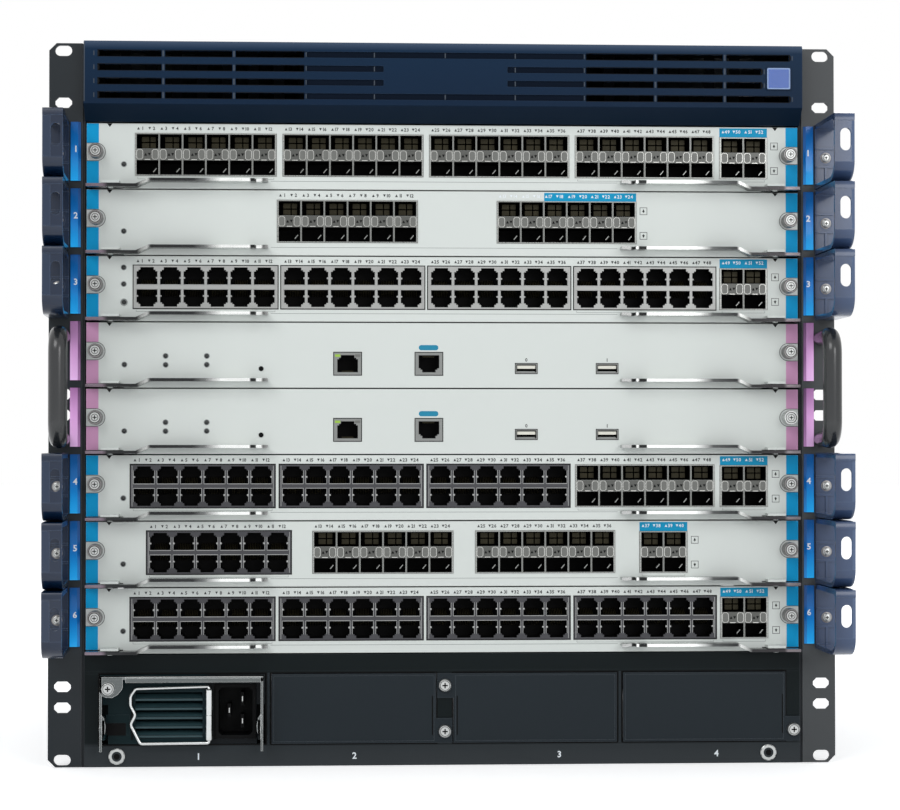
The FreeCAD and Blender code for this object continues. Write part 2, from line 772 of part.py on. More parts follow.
def ejector_lever(slot):
    """Right-hand sheet lever: hook and pivot end low, then a bend up to the long bar."""
    base = slot_bottom(slot)
    low = base + lever_low
    high = low + lever_rise
    bend_out = lever_pivot_x - lever_bend[0]
    bend_in = lever_pivot_x - lever_bend[1]
    hook = lever_pivot_x + lever_hook
    tip = lever_pivot_x - lever_length
    outline = [(hook, low), (hook, low + lever_sheet), (bend_out + lever_bevel, low + lever_sheet),
               (bend_in + lever_bevel, high + lever_sheet), (tip, high + lever_sheet),
               (tip, high), (bend_in, high), (bend_out, low)]
    strip = front_prism(outline, lever_front, lever_back)
    tip_slot = box(tip + lever_tip_slot[0], tip + lever_tip_slot[1], lever_front - 1,
                   lever_front + lever_slot_depth, base, high + lever_sheet + 1)
    bore = pin_bore(V(lever_pivot_x, lever_pivot_y, low - 1), V(0, 0, 1), rivet_radius, lever_sheet + 2)
    return strip.cut([tip_slot, bore])


def push_button(slot):
    """Round button through the panel with a collar behind it, clear of the panel by its stroke."""
    x, height = button_places(slot)[0]
    z = slot_bottom(slot) + height
    stem = many_sided_bar(x, z, button_radius, knob_sides, -button_proud, button_length - button_proud)
    collar_front = panel_sheet + cutout_clearance
    collar = many_sided_bar(x, z, button_collar, pin_sides, collar_front, collar_front + 1)
    return stem.fuse(collar)


# ---------------------------------------------------------------- brackets, handles, fasteners
def cable_bracket(slot):
    """Right-hand cable ring: a ribbed base on the ear and a loop reaching forward from it."""
    z0 = slot_bottom(slot) + bracket_bottom
    z1 = z0 + bracket_height
    x0, x1 = bracket_x
    wall, cut, front = bracket_wall, bracket_chamfer, -bracket_reach
    outer = [(0, z0), (front + 2 * cut, z0), (front, z0 + cut), (front, z1 - bracket_bevel),
             (front + bracket_bevel, z1), (0, z1)]
    inner = [(-bracket_base, z0 + wall), (front + 2 * cut, z0 + wall), (front + wall, z0 + cut + wall / 2),
             (front + wall, z1 - wall), (-bracket_base, z1 - wall)]
    ring = side_prism(outer, x0, x1).cut(side_prism(inner, x0 - 1, x1 + 1))
    rib_front = -bracket_base - bracket_rib
    screw_z = slot_bottom(slot) + bracket_screw_height
    thin = bracket_rib / 2
    ribs = [box(x0, x1, rib_front, 0, screw_z + side * bracket_rib_offset - thin,
                screw_z + side * bracket_rib_offset + thin) for side in (-1, 1)]
    upright = box(bracket_screw_x - thin, bracket_screw_x + thin, rib_front, 0, z0 + wall / 2,
                  screw_z - bracket_rib_offset)
    strap = clipped_slot((x0 + x1) / 2, z0 + bracket_strap, bracket_slot_width, bracket_slot_height,
                         front - 1, front + wall + 1)
    return joined(ring, *ribs, upright).cut(strap)


def cable_brackets():
    pieces = [cable_bracket(slot) for slot in bracket_slots]
    return group(pieces + [flipped(piece) for piece in pieces])


def chassis_fasteners():
    """Pan-head screws of the cable brackets and the captive screws of the blanks."""
    screws = []
    for slot in bracket_slots:
        z = slot_bottom(slot) + bracket_screw_height
        screw = many_sided_bar(bracket_screw_x, z, screw_radius, screw_sides,
                               -bracket_base - screw_head, -bracket_base)
        screws += [screw, flipped(screw)]
    for x, z in blank_screw_places():
        screws.append(many_sided_bar(x, z, blank_screw_radius, knob_sides, -blank_sheet - blank_screw_head,
                                     -blank_sheet))
    return group(screws)


def carry_handle():
    """Right-hand D handle bent from round bar, standing on the ear."""
    middle = (cage_bottom + cage_top) / 2
    grip_y = -handle_reach + handle_radius
    points = [V(handle_x, 0, middle - handle_height / 2)]
    for side in (-1, 1):
        centre = V(handle_x, grip_y + handle_bend, middle + side * (handle_height / 2 - handle_bend))
        turns = [math.pi / 2 * i / handle_bend_steps for i in range(handle_bend_steps + 1)]
        bend = [centre + V(0, -handle_bend * math.sin(t), side * handle_bend * math.cos(t)) for t in turns]
        points += bend if side < 0 else bend[::-1]
    points.append(V(handle_x, 0, middle + handle_height / 2))
    section = many_sided_section(points[0], V(1, 0, 0), V(0, 0, 1), handle_radius, handle_sides)
    return bent_bar(points, section)


def carry_handles():
    handle = carry_handle()
    return group([handle, flipped(handle)])


# ---------------------------------------------------------------- power section
def bottom_rail(half):
    """Lowest rail of the frame with the nuts and bores of the two wrist-strap sockets."""
    rail = box(-half, half, 0, sheet, floor_gap, power_bottom - sheet)
    for x in (-esd_x, esd_x):
        nut = many_sided_bar(x, esd_height, esd_radius, knob_sides, -esd_proud, 0)
        bore = many_sided_bar(x, esd_height, esd_bore, pin_sides, -esd_proud - 1, sheet + 1)
        rail = rail.fuse(nut).cut(bore)
    return rail.removeSplitter()


def power_frame():
    """Front frame of the power section, welded from rails, posts, a lip and a ledge round four bays."""
    top = cage_bottom - panel_gap / 2
    half = inner_half - frame_gap
    pieces = [bottom_rail(half),
              box(-half, half, 0, frame_flange, power_bottom - sheet, power_bottom),
              box(-half, half, 0, frame_flange, power_top, power_top + sheet),
              box(-half, half, 0, sheet, power_top + sheet, top)]
    edges = [-half]
    for left in bay_left:
        edges += [left, left + bay_width]
    edges.append(half)
    for x0, x1 in zip(edges[::2], edges[1::2]):
        pieces.append(box(x0, x1, 0, sheet, power_bottom, power_top))
    return group(pieces)


def power_partitions():
    """Upright sheets between the power bays, standing on the chassis floor."""
    sheets = []
    top = cage_bottom - panel_gap - sheet
    for left, right in ((bay_left[0] + bay_width, bay_left[1]), (bay_left[1] + bay_width, bay_left[2]),
                        (bay_left[2] + bay_width, bay_left[3])):
        middle = (left + right) / 2
        sheets.append(box(middle - sheet / 2, middle + sheet / 2, frame_flange,
                          body_depth - partition_rear, sheet, top))
    return group(sheets)


def blank_screw_places():
    """Captive screws of the three blanks, in X and Z."""
    low = power_bottom + blank_tab_height / 2
    high = power_top - blank_tab_height / 2
    edge = (bay_left[3] + bay_width + inner_half) / 2
    return [(0, low), (0, high), (edge, low)]


def blank_panel(index):
    """One bay blank with folded edges and a fixing tab beside it."""
    left = bay_left[index] + blank_gap
    right = bay_left[index] + bay_width - blank_gap
    low, high = power_bottom + blank_gap, power_top - blank_gap
    face = box(left, right, -blank_sheet, 0, low, high)
    folds = [box(left, right, 0, blank_flange, low, low + blank_sheet),
             box(left, right, 0, blank_flange, high - blank_sheet, high)]
    if index == 1:
        tab = box(right - blank_overlap, post_half - blank_tab_gap, -blank_sheet, 0,
                  low, low + blank_tab_height)
    elif index == 2:
        tab = box(blank_tab_gap - post_half, left + blank_overlap, -blank_sheet, 0,
                  high - blank_tab_height, high)
    else:
        tab = box(right - blank_overlap, inner_half - frame_gap - blank_tab_gap, -blank_sheet, 0,
                  low, low + blank_tab_height)
    return joined(face, *folds, tab)


def power_blanks():
    return group([blank_panel(index) for index in (1, 2, 3)])


# ---------------------------------------------------------------- power supply
def louvres():
    """Slats tilted down to the front across the fan grille."""
    x0, x1 = grille_x
    z0, z1 = grille_z
    pitch = (z1 - z0) / louvre_count
    slats = []
    for i in range(louvre_count):
        z = z0 + (i + 0.25) * pitch
        outline = [(0, z), (louvre_sheet, z), (louvre_depth, z + pitch * 0.6),
                   (louvre_depth - louvre_sheet, z + pitch * 0.6)]
        slats.append(side_prism(outline, x0 - 1, x1 + 1))
    return slats


def supply_case():
    """Sheet case with a louvred grille, the inlet cut-out and pockets beside the handle legs."""
    left, right, low = supply_left, supply_right, supply_low
    width, height, depth = supply_leg_pocket
    case = box(left, right, 0, body_depth - supply_rear, low, supply_high)
    cutters = [box(grille_x[0], grille_x[1], -1, 3 * louvre_depth, grille_z[0], grille_z[1]),
               centred_box(inlet_x, inlet_width, -1, inlet_cavity[2] + inlet_back + inlet_clearance,
                           inlet_z, inlet_height),
               box(left - 1, left + width, -1, depth, low - 1, low + height),
               box(right - width, right + 1, -1, depth, low - 1, low + height)]
    case = case.cut(cutters)
    barrel_z = (clip_z[0] + clip_wire + barrel_gap, clip_z[1] - clip_wire - barrel_gap)
    run = barrel_z[1] - barrel_z[0]
    barrel = many_sided_pin(V(clip_axis_x, clip_axis_y, barrel_z[0]), V(0, 0, 1), clip_barrel, run)
    web = box(clip_axis_x - barrel_gap, clip_axis_x + barrel_gap, clip_axis_y, 0, barrel_z[0], barrel_z[1])
    bore = pin_bore(V(clip_axis_x, clip_axis_y, barrel_z[0] - 1), V(0, 0, 1), clip_wire, run + 2)
    return joined(case, barrel, web, *louvres(), *bail_lugs()).cut(bore)


def bail_sides():
    """Outer faces of the two handle legs in X."""
    return supply_left + bail_side, supply_right - bail_side


def bail_lugs():
    """Ears folded forward from the case, each with the pin that the handle turns on."""
    left, right = bail_sides()
    inner_left = left + bail_sheet + bail_lug_gap
    inner_right = right - bail_sheet - bail_lug_gap
    lugs = []
    for start, low, high in ((inner_left, left - pivot_end, inner_left),
                             (inner_right - bail_sheet, inner_right, right + pivot_end)):
        lugs.append(box(start, start + bail_sheet, bail_pivot_y - bail_lug_reach,
                        supply_leg_pocket[2] + 1, bail_pivot_z - bail_lug_half,
                        bail_pivot_z + bail_lug_half))
        lugs.append(many_sided_pin(V(low, bail_pivot_y, bail_pivot_z), V(1, 0, 0), pivot_radius, high - low))
    return lugs


def supply_inlet():
    """Power inlet moulding with its rounded cavity and three blades."""
    width, height, depth = inlet_cavity
    body = centred_box(inlet_x, inlet_width - 2 * inlet_clearance, -inlet_proud, depth + inlet_back,
                       inlet_z, inlet_height - 2 * inlet_clearance)
    cavity = centred_box(inlet_x, width, -inlet_proud - 1, depth, inlet_z, height)
    cavity = cavity.makeChamfer(inlet_corner, [edge for edge in cavity.Edges if edge.BoundBox.YLength > 5])
    blades = [centred_box(inlet_x + dx, blade_size[0], blade_setback, depth + 1, inlet_z + dz, blade_size[1])
              for dx, dz in blade_places]
    return body.cut(cavity).fuse(blades)


def bail_leg(x):
    """One handle leg with its pivot boss and the foot that levers the unit out."""
    y, z = bail_pivot_y, bail_pivot_z
    half = bail_leg_width / 2
    heel_front, heel_back = bail_heel
    taper, foot = z - bail_foot_rise, z - bail_foot
    outline = [(y - half, bail_top), (y - half, taper), (y - heel_front, foot), (y + heel_back, foot),
               (y + half, taper), (y + half, bail_top)]
    leg = side_prism(outline, x, x + bail_sheet)
    boss = many_sided_pin(V(x, y, z), V(1, 0, 0), bail_boss_radius, bail_sheet)
    bore = pin_bore(V(x - 1, y, z), V(1, 0, 0), pivot_radius, bail_sheet + 2)
    return leg.fuse(boss).cut(bore)


def supply_bail():
    """U handle of sheet: two legs, the bar across the top and the tab for the captive screw."""
    left, right = bail_sides()
    y = bail_pivot_y
    half = bail_leg_width / 2
    bar_front = y - half
    tab_right = left + bail_tab[0]
    tab_low = bail_top - bail_tab[1]
    bar = box(tab_right + bail_tab_gap, right, bar_front, bar_front + bail_sheet,
              bail_top - bail_bar_height, bail_top)
    shelf = box(left, right, bar_front, y + half, bail_top - bail_sheet, bail_top)
    inner, outer = bail_tab_corners
    tab = front_prism([(left, bail_top), (tab_right, bail_top), (tab_right, tab_low + outer),
                       (tab_right - outer, tab_low), (left + inner, tab_low), (left, tab_low + inner)],
                      bar_front, bar_front + bail_sheet)
    screw = many_sided_bar(left + bail_screw_at[0], bail_top - bail_screw_at[1], blank_screw_radius,
                           knob_sides, bar_front - bail_screw_head, bar_front)
    return joined(bail_leg(left), bail_leg(right - bail_sheet), bar, shelf, tab, screw)


def clip_outline():
    """Corners of the cord clip's wire in X and Z, from the bottom of its hinge round to the top."""
    low, high = clip_z
    far = clip_far_x
    third = (high - low) / 6
    wave = clip_wave
    return [(clip_axis_x, high - clip_return[0]), (clip_axis_x, low), (far + wave, low - clip_slant[0]),
            (far, low + third), (far - wave, low + 2 * third), (far, low + 3 * third),
            (far - wave, low + 4 * third), (far - wave, low + 5 * third), (far, high - clip_slant[1]),
            (clip_axis_x, high), (clip_axis_x, high - clip_return[1])]


def cord_clip():
    """Bent wire that folds across the grille and swings out round the plug."""
    corners = [V(x, clip_axis_y, z) for x, z in clip_outline()]
    return bent_bar(corners, many_sided_section(corners[0], V(1, 0, 0), V(0, 1, 0), clip_wire, pin_sides))


# ---------------------------------------------------------------- rear
def backplane():
    """Board across the back of the card cage, on its stand-off rails, with the mating connectors."""
    plate = box(-backplane_half, backplane_half, backplane_front, backplane_front + backplane_thickness,
                cage_bottom, cage_top - backplane_top_gap)
    width, _, height = rear_connector_size
    connectors = []
    for slot in range(1, slot_count + 1):
        z = slot_bottom(slot) + board_top + height / 2
        connectors += [centred_box(x, width, backplane_front - backplane_connector, backplane_front,
                                   z, height)
                       for x in rear_connector_x]
    rails = [box(x0, x1, backplane_front, backplane_front + backplane_rail_depth,
                 cage_bottom, cage_top - backplane_top_gap)
             for x0, x1 in ((-inner_half, -backplane_half), (backplane_half, inner_half))]
    return joined(plate, *connectors, *rails)


def fan_centres():
    return [fan_middle + side * fan_spacing / 2 for side in (1, -1)]


def fan_tray():
    """Rear cover and duct of the fans, with a spider and a fixed axle behind each bore."""
    width, height = fan_opening
    cover = centred_box(0, width + 2 * fan_tray_margin, body_depth, rear_face, fan_middle,
                        height + 2 * fan_tray_margin)
    duct = centred_box(0, width - 2 * fan_duct_gap, body_depth - fan_tray_depth, body_depth,
                       fan_middle, height - 2 * fan_duct_gap)
    tray = cover.fuse(duct)
    bores, spiders = [], []
    for z in fan_centres():
        bores.append(many_sided_bar(0, z, fan_bore, 2 * fan_hub_sides,
                                    body_depth - fan_tray_depth - 1, rear_face + 1))
        bar_y = (rear_face - spider_depth, rear_face)
        span = 2 * fan_bore + spider_depth
        spiders += [centred_box(0, span, *bar_y, z, spider_bar),
                    centred_box(0, spider_bar, *bar_y, z, span),
                    many_sided_bar(0, z, fan_hub, fan_hub_sides, *bar_y),
                    many_sided_bar(0, z, fan_axle, pin_sides, body_depth - fan_tray_depth + axle_front,
                                   rear_face - spider_depth / 2)]
    return joined(tray.cut(bores), *spiders)


def fan_rotor(z):
    """Hub and pitched blades, turning on the fixed axle."""
    front = body_depth - fan_tray_depth + rotor_front
    back = rear_face - rotor_back
    hub = many_sided_bar(0, z, fan_hub, fan_hub_sides, front, back)
    half, root = blade_chord / 2, z + blade_root
    y0, y1 = front + blade_inset, back - blade_inset
    outline = [V(-half, y0, root), V(blade_thickness - half, y0, root), V(half, y1, root),
               V(half - blade_thickness, y1, root)]
    blades = []
    for i in range(fan_blades):
        blade = prism(outline, V(0, 0, fan_blade_tip - blade_root))
        blade.rotate(V(0, 0, z), V(0, 1, 0), 360.0 * i / fan_blades)
        blades.append(blade)
    rotor = hub.fuse(blades)
    bore_radius = (fan_axle + pin_fit) / math.cos(math.pi / pin_sides)
    return rotor.cut(many_sided_bar(0, z, bore_radius, pin_sides, front - 1, back + 1))


# ---------------------------------------------------------------- the whole assembly
def all_parts():
    parts = {
        "chassis_shell": chassis_shell(),
        "card_guides": card_guides(),
        "rack_ears": rack_ears(),
        "vent_bezel": vent_bezel(),
        "vent_screen": vent_screen(),
        "power_frame": power_frame(),
        "power_partitions": power_partitions(),
        "power_blanks": power_blanks(),
        "chassis_fasteners": chassis_fasteners(),
        "cable_brackets": cable_brackets(),
        "carry_handles": carry_handles(),
        "backplane": backplane(),
        "fan_tray": fan_tray(),
        "supply_case": supply_case(),
        "supply_inlet": supply_inlet(),
        "supply_bail": supply_bail(),
        "cord_clip": cord_clip(),
    }
    for name, z in zip(("fan_rotor_upper", "fan_rotor_lower"), fan_centres()):
        parts[name] = fan_rotor(z)
    for slot in range(1, slot_count + 1):
        lever = ejector_lever(slot)
        parts[f"card_{slot}_panel"] = card_panel(slot)
        parts[f"card_{slot}_lever_right"] = lever
        parts[f"card_{slot}_lever_left"] = flipped(lever)
        if slot in supervisor_slots:
            parts[f"card_{slot}_board"] = supervisor_board(slot)
            parts[f"card_{slot}_reset_button"] = push_button(slot)
        else:
            parts[f"card_{slot}_board"] = plain_board(slot)
            parts[f"card_{slot}_ports"] = card_port_blocks(slot)
    parts[f"card_{mode_button_slot}_mode_button"] = push_button(mode_button_slot)
    return parts


os.makedirs("parts", exist_ok=True)
for name, shape in all_parts().items():
    shape.translated(V(0, -frame_y, 0)).exportStep(f"parts/{name}.step")
    solids = len(shape.Solids)
    print(f"{name}: {solids} solids, valid {shape.isValid()}, volume {shape.Volume / 1000:.1f} cm3")
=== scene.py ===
# %% [markdown]
# A modular network chassis is a ten-unit steel box with eight sliding cards, a vent bezel over them,
# a power section under them, and cable rings and handles on its rack ears. The packed CAD model gives
# every rigid form in its place. This lesson loads it as a fixed frame and dresses it: thin prints,
# moulded sockets, knurled screws and the finishes that make sheet steel, plastic and zinc look real.

# %% Load the frame
import math

import bmesh
import bpy
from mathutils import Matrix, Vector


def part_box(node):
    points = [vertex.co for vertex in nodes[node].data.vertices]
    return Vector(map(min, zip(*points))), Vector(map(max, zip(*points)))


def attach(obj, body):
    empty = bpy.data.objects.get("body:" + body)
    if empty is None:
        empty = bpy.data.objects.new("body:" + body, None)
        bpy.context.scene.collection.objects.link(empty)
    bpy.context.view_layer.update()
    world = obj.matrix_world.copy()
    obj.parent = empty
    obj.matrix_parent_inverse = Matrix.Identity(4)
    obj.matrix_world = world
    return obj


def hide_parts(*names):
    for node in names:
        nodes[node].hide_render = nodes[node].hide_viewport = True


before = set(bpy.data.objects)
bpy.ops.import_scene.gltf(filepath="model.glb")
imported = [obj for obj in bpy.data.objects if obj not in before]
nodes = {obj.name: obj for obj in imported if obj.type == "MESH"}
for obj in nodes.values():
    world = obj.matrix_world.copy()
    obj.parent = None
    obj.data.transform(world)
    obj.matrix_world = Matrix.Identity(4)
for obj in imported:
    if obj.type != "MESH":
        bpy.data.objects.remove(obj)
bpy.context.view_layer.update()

# %% [markdown]
# All places below come from the boxes of CAD nodes, in millimetres: X to the right, Y into the rack
# from the plane that the ears and panels share, Z up from the underside. A card's own heights count
# from the bottom of its slot, which lies a fixed lift under its circuit board.

# %% Places shared by all pieces
mm = 0.001
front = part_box("rack_ears")[0].y
ear_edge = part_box("rack_ears")[1].x / mm
panel_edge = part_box("card_1_panel")[1].x / mm
board_lift = 6.5
slots = range(1, 9)
slot_floor = {n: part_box(f"card_{n}_board")[0].z / mm - board_lift for n in slots}
pitch = slot_floor[1] - slot_floor[2]
supervisors = (4, 5)
line_cards = [n for n in slots if n not in supervisors]
both_sides = ((-1, "left"), (1, "right"))
print("panel edge", round(panel_edge, 2), "slot pitch", round(pitch, 2))

# %% [markdown]
# The camera stands a little left of the middle and low, with a long lens, so the front is seen almost
# flat. A 96 mm lens on a 36 mm sensor gives that mild perspective.

# %% Camera
camera_data = bpy.data.cameras.new("camera")
camera_data.sensor_width = 36.0
camera_data.lens = 96.0
camera = bpy.data.objects.new("camera", camera_data)
camera.location = (-0.0706, -1.6559, 0.1990)
camera.rotation_euler = [math.radians(turn) for turn in (90.835, 0.006, -2.876)]
bpy.context.collection.objects.link(camera)
bpy.context.scene.camera = camera
print("camera at", tuple(round(v, 3) for v in camera.location))

# %% [markdown]
# Shader nodes are laid by two short helpers. An input is either a plain value or the output of an
# earlier node, so a chain of nodes reads like a sum, from the inside out.

# %% Helpers for shader nodes


def feed(tree, socket, value):
    """Sets a socket to a value, or links the output that is given in its place."""
    if isinstance(value, bpy.types.NodeSocket):
        tree.links.new(value, socket)
    else:
        socket.default_value = value


def add(tree, kind, inputs=None, **settings):
    """One shader node with its settings; inputs are values or outputs, by socket. Gives its outputs."""
    node = tree.nodes.new("ShaderNode" + kind)
    for key, value in settings.items():
        setattr(node, key, value)
    for socket, value in (inputs or {}).items():
        feed(tree, node.inputs[socket], value)
    return node.outputs


def maths(tree, operation, *values, clamp=False):
    return add(tree, "Math", dict(enumerate(values)), operation=operation, use_clamp=clamp)[0]


# %% [markdown]
# The room is a pale floor under a soft white sky, with two large soft lamps in front and one behind.
# The sky is plain grey light for the object, and plain white where the camera, a reflection or a glass
# ray sees it. Keeping the two apart gives a white background without more light on the object.

# %% Sky and lamps
scene = bpy.context.scene
scene.view_settings.view_transform = "Standard"
world = bpy.data.worlds.new("studio")
world.use_nodes = True
scene.world = world
sky = world.node_tree
sky.nodes.clear()


def white_for_rays(tree):
    """1 where the camera, a reflection or a glass ray looks, 0 for plain light."""
    rays = add(tree, "LightPath")
    seen = maths(tree, "MAXIMUM", rays["Is Camera Ray"], rays["Is Glossy Ray"])
    return maths(tree, "MAXIMUM", seen, rays["Is Transmission Ray"])


plain_light = add(sky, "Background", {"Color": (0.94, 0.97, 1.0, 1), "Strength": 0.62})
seen_white = add(sky, "Background", {"Color": (1, 1, 1, 1), "Strength": 1.0})
both = add(sky, "MixShader", {0: white_for_rays(sky), 1: plain_light[0], 2: seen_white[0]})
add(sky, "OutputWorld", {0: both[0]})


def lamp(name, place, aim, size, power):
    """A large soft square lamp that faces a point."""
    data = bpy.data.lights.new(name, "AREA")
    data.shape = "RECTANGLE"
    data.size, data.size_y = size
    data.energy = power
    made = bpy.data.objects.new(name, data)
    made.location = place
    x, y, z = (aim[i] - place[i] for i in range(3))
    made.rotation_euler = (math.atan2(math.hypot(x, y), -z), 0, math.atan2(y, x) - math.pi / 2)
    bpy.context.collection.objects.link(made)


lamp("key_lamp", (-1.3, -2.2, 1.9), (0, -0.1, 0.2), (1.6, 1.2), 24)
lamp("side_lamp", (1.05, -2.6, 0.95), (0.1, -0.1, 0.25), (0.9, 0.9), 12)
lamp("rear_lamp", (0.4, 2.4, 1.8), (0, 0.1, 0.2), (1.6, 1.2), 22)

# %% [markdown]
# Screen tones are easier to judge than linear ones, so colours are written as 0 to 255 screen tones
# and turned into linear light here.

# %% Colours


def tone(*screen):
    """Linear colour of three 0 to 255 screen tones."""
    parts = [value / 255 for value in screen]
    return (*(p / 12.92 if p <= 0.04045 else ((p + 0.055) / 1.055) ** 2.4 for p in parts), 1.0)


print("mid grey:", [round(v, 3) for v in tone(128, 128, 128)])

# %% [markdown]
# Real finishes are never one flat colour. Four effects repeat on many materials here, so each is a
# shader node group with named inputs: a slow drift of tone, a fine grain of paint or moulding, the
# lines of brushed or rolled metal, and painted light along sharp edges.

# %% Node groups for shared effects


def effect(name, inputs, outputs):
    """An empty node group; a socket named Color holds a colour, any other a number."""
    tree = bpy.data.node_groups.new(name, "ShaderNodeTree")
    for way, labels in (("INPUT", inputs), ("OUTPUT", outputs)):
        for label in labels:
            kind = "NodeSocketColor" if label == "Color" else "NodeSocketFloat"
            socket = tree.interface.new_socket(label, in_out=way, socket_type=kind)
            if way == "INPUT":
                socket.default_value = inputs[label]
    start, end = (tree.nodes.new("NodeGroup" + way) for way in ("Input", "Output"))
    return tree, start.outputs, end.inputs


def place_of(tree):
    return add(tree, "TexCoord")["Object"]


def noise_by_size(tree, size, detail):
    """Noise in object space whose lumps have a size in metres."""
    scale = maths(tree, "DIVIDE", 1.0, size)
    return add(tree, "TexNoise", {"Vector": place_of(tree), "Scale": scale, "Detail": detail})[0]


def centred(tree, value):
    """A 0 to 1 value moved to -1 to 1."""
    return maths(tree, "MULTIPLY_ADD", value, 2.0, -1.0)


def scaled(tree, colour, shift, amount):
    """A colour made lighter or darker by a shift of -1 to 1 times an amount."""
    factor = maths(tree, "MULTIPLY_ADD", shift, amount, 1.0)
    return add(tree, "VectorMath", {0: colour, "Scale": factor}, operation="SCALE")[0]


def tone_drift_group():
    tree, start, end = effect("tone_drift", {"Color": (0.5, 0.5, 0.5, 1), "Amount": 0.05, "Size": 0.05},
                              ["Color"])
    shift = centred(tree, noise_by_size(tree, start["Size"], 3.0))
    feed(tree, end["Color"], scaled(tree, start["Color"], shift, start["Amount"]))
    return tree


def fine_grain_group():
    tree, start, end = effect("fine_grain", {"Size": 0.0006, "Roughness": 0.4, "Spread": 0.06},
                              ["Roughness", "Height"])
    noise = noise_by_size(tree, start["Size"], 2.0)
    feed(tree, end["Roughness"],
         maths(tree, "MULTIPLY_ADD", centred(tree, noise), start["Spread"], start["Roughness"]))
    feed(tree, end["Height"], noise)
    return tree


def rolled_lines_group():
    """Lines of rolled or brushed metal that run along X; Along and Across are line sizes in metres."""
    tree, start, end = effect("rolled_lines", {"Along": 0.05, "Across": 0.0004}, ["Value"])
    parts = add(tree, "SeparateXYZ", {0: place_of(tree)})
    lines = {axis: maths(tree, "DIVIDE", parts[axis], start[size])
             for axis, size in enumerate(("Along", "Across", "Across"))}
    joined = add(tree, "CombineXYZ", lines)[0]
    feed(tree, end["Value"], add(tree, "TexNoise", {"Vector": joined, "Scale": 1.0, "Detail": 2.0})[0])
    return tree


def worn_edges_group():
    """A mask that is 1 where the surface turns sharply within a radius, where painted edge light goes."""
    tree, start, end = effect("worn_edges", {"Radius": 0.0008, "Amount": 4.0}, ["Mask"])
    soft = add(tree, "Bevel", {"Radius": start["Radius"]}, samples=4)[0]
    flat = add(tree, "NewGeometry")["Normal"]
    dot = add(tree, "VectorMath", {0: soft, 1: flat}, operation="DOT_PRODUCT")["Value"]
    turn = maths(tree, "SUBTRACT", 1.0, dot, clamp=True)
    feed(tree, end["Mask"], maths(tree, "MULTIPLY", turn, start["Amount"], clamp=True))
    return tree


groups = {"drift": tone_drift_group(), "grain": fine_grain_group(), "lines": rolled_lines_group(),
          "edges": worn_edges_group()}
print("node groups:", sorted(g.name for g in groups.values()))

# %% [markdown]
# One recipe makes every plain finish: a colour that drifts, a grain that moves roughness and height,
# and, where asked, rolled lines and painted light along sharp edges. The shader node stays in the
# material, and its constant values are set on its own sockets.

# %% The recipe for a finish
line_size = {"Along": 0.03, "Across": 0.0005}
edge_radius = 0.0006
relief_depth = 0.0003
coat_roughness = 0.06


def use(tree, key, **inputs):
    """Places one of the shared groups in a material."""
    return add(tree, "Group", inputs, node_tree=groups[key])


def ramp_of(tree, value, stops):
    """A colour ramp over a value, with stops of a place and three screen tones."""
    ramp = tree.nodes.new("ShaderNodeValToRGB")
    elements = ramp.color_ramp.elements
    while len(elements) < len(stops):
        elements.new(0.5)
    for element, (place, *screen) in zip(elements, stops):
        element.position, element.color = place, tone(*screen)
    feed(tree, ramp.inputs[0], value)
    return ramp.outputs[0]


def fade_by_place(tree, axis, low, high, stops):
    """Colours along an axis of the model, in millimetres; side counts outward from the middle."""
    parts = add(tree, "SeparateXYZ", {0: place_of(tree)})
    source = maths(tree, "ABSOLUTE", parts[0]) if axis == "side" else parts[axis]
    span = add(tree, "MapRange", {"Value": source, "From Min": low * mm, "From Max": high * mm})[0]
    return ramp_of(tree, span, [((at - low) / (high - low), *screen) for at, *screen in stops])


def finish(name, screen, roughness, metal=0.0, shine=0.5, drift=0.04, drift_size=0.06, grain=0.0006,
           spread=0.05, bump=0.04, lines=0.0, worn=0.0, worn_tone=(190, 190, 188), coat=0.0, rise=None,
           across=None):
    """A material of one finish. rise fades by the height in a piece, across by the place in the model; the
    edge settings paint light along sharp edges.
    """
    made = bpy.data.materials.new(name)
    made.use_nodes = True
    tree = made.node_tree
    shader = tree.nodes["Principled BSDF"].inputs
    shader["Metallic"].default_value = metal
    shader["Specular IOR Level"].default_value = shine
    shader["Coat Weight"].default_value = coat
    shader["Coat Roughness"].default_value = coat_roughness
    colour = tone(*screen)
    if rise:
        colour = ramp_of(tree, add(tree, "Attribute", attribute_name="rise")["Fac"], rise)
    if across:
        colour = fade_by_place(tree, *across)
    colour = use(tree, "drift", Color=colour, Amount=drift, Size=drift_size)[0]
    if lines:
        colour = scaled(tree, colour, centred(tree, use(tree, "lines", **line_size)[0]), lines)
    # Painted light along sharp edges: a tone of their own there, mostly painted highlights.
    if worn:
        edge = use(tree, "edges", Radius=edge_radius, Amount=worn)[0]
        mixed = tree.nodes.new("ShaderNodeMix")
        mixed.data_type = "RGBA"
        ends = {s.name: s for s in mixed.inputs if s.type == "RGBA"}
        feed(tree, mixed.inputs[0], edge)
        feed(tree, ends["A"], colour)
        feed(tree, ends["B"], tone(*worn_tone))
        colour = [s for s in mixed.outputs if s.type == "RGBA"][0]
    feed(tree, shader["Base Color"], colour)
    texture = use(tree, "grain", Size=grain, Roughness=roughness, Spread=spread)
    feed(tree, shader["Roughness"], texture["Roughness"])
    relief = {"Strength": bump, "Distance": relief_depth, "Height": texture["Height"]}
    feed(tree, shader["Normal"], add(tree, "Bump", relief)[0])
    return made
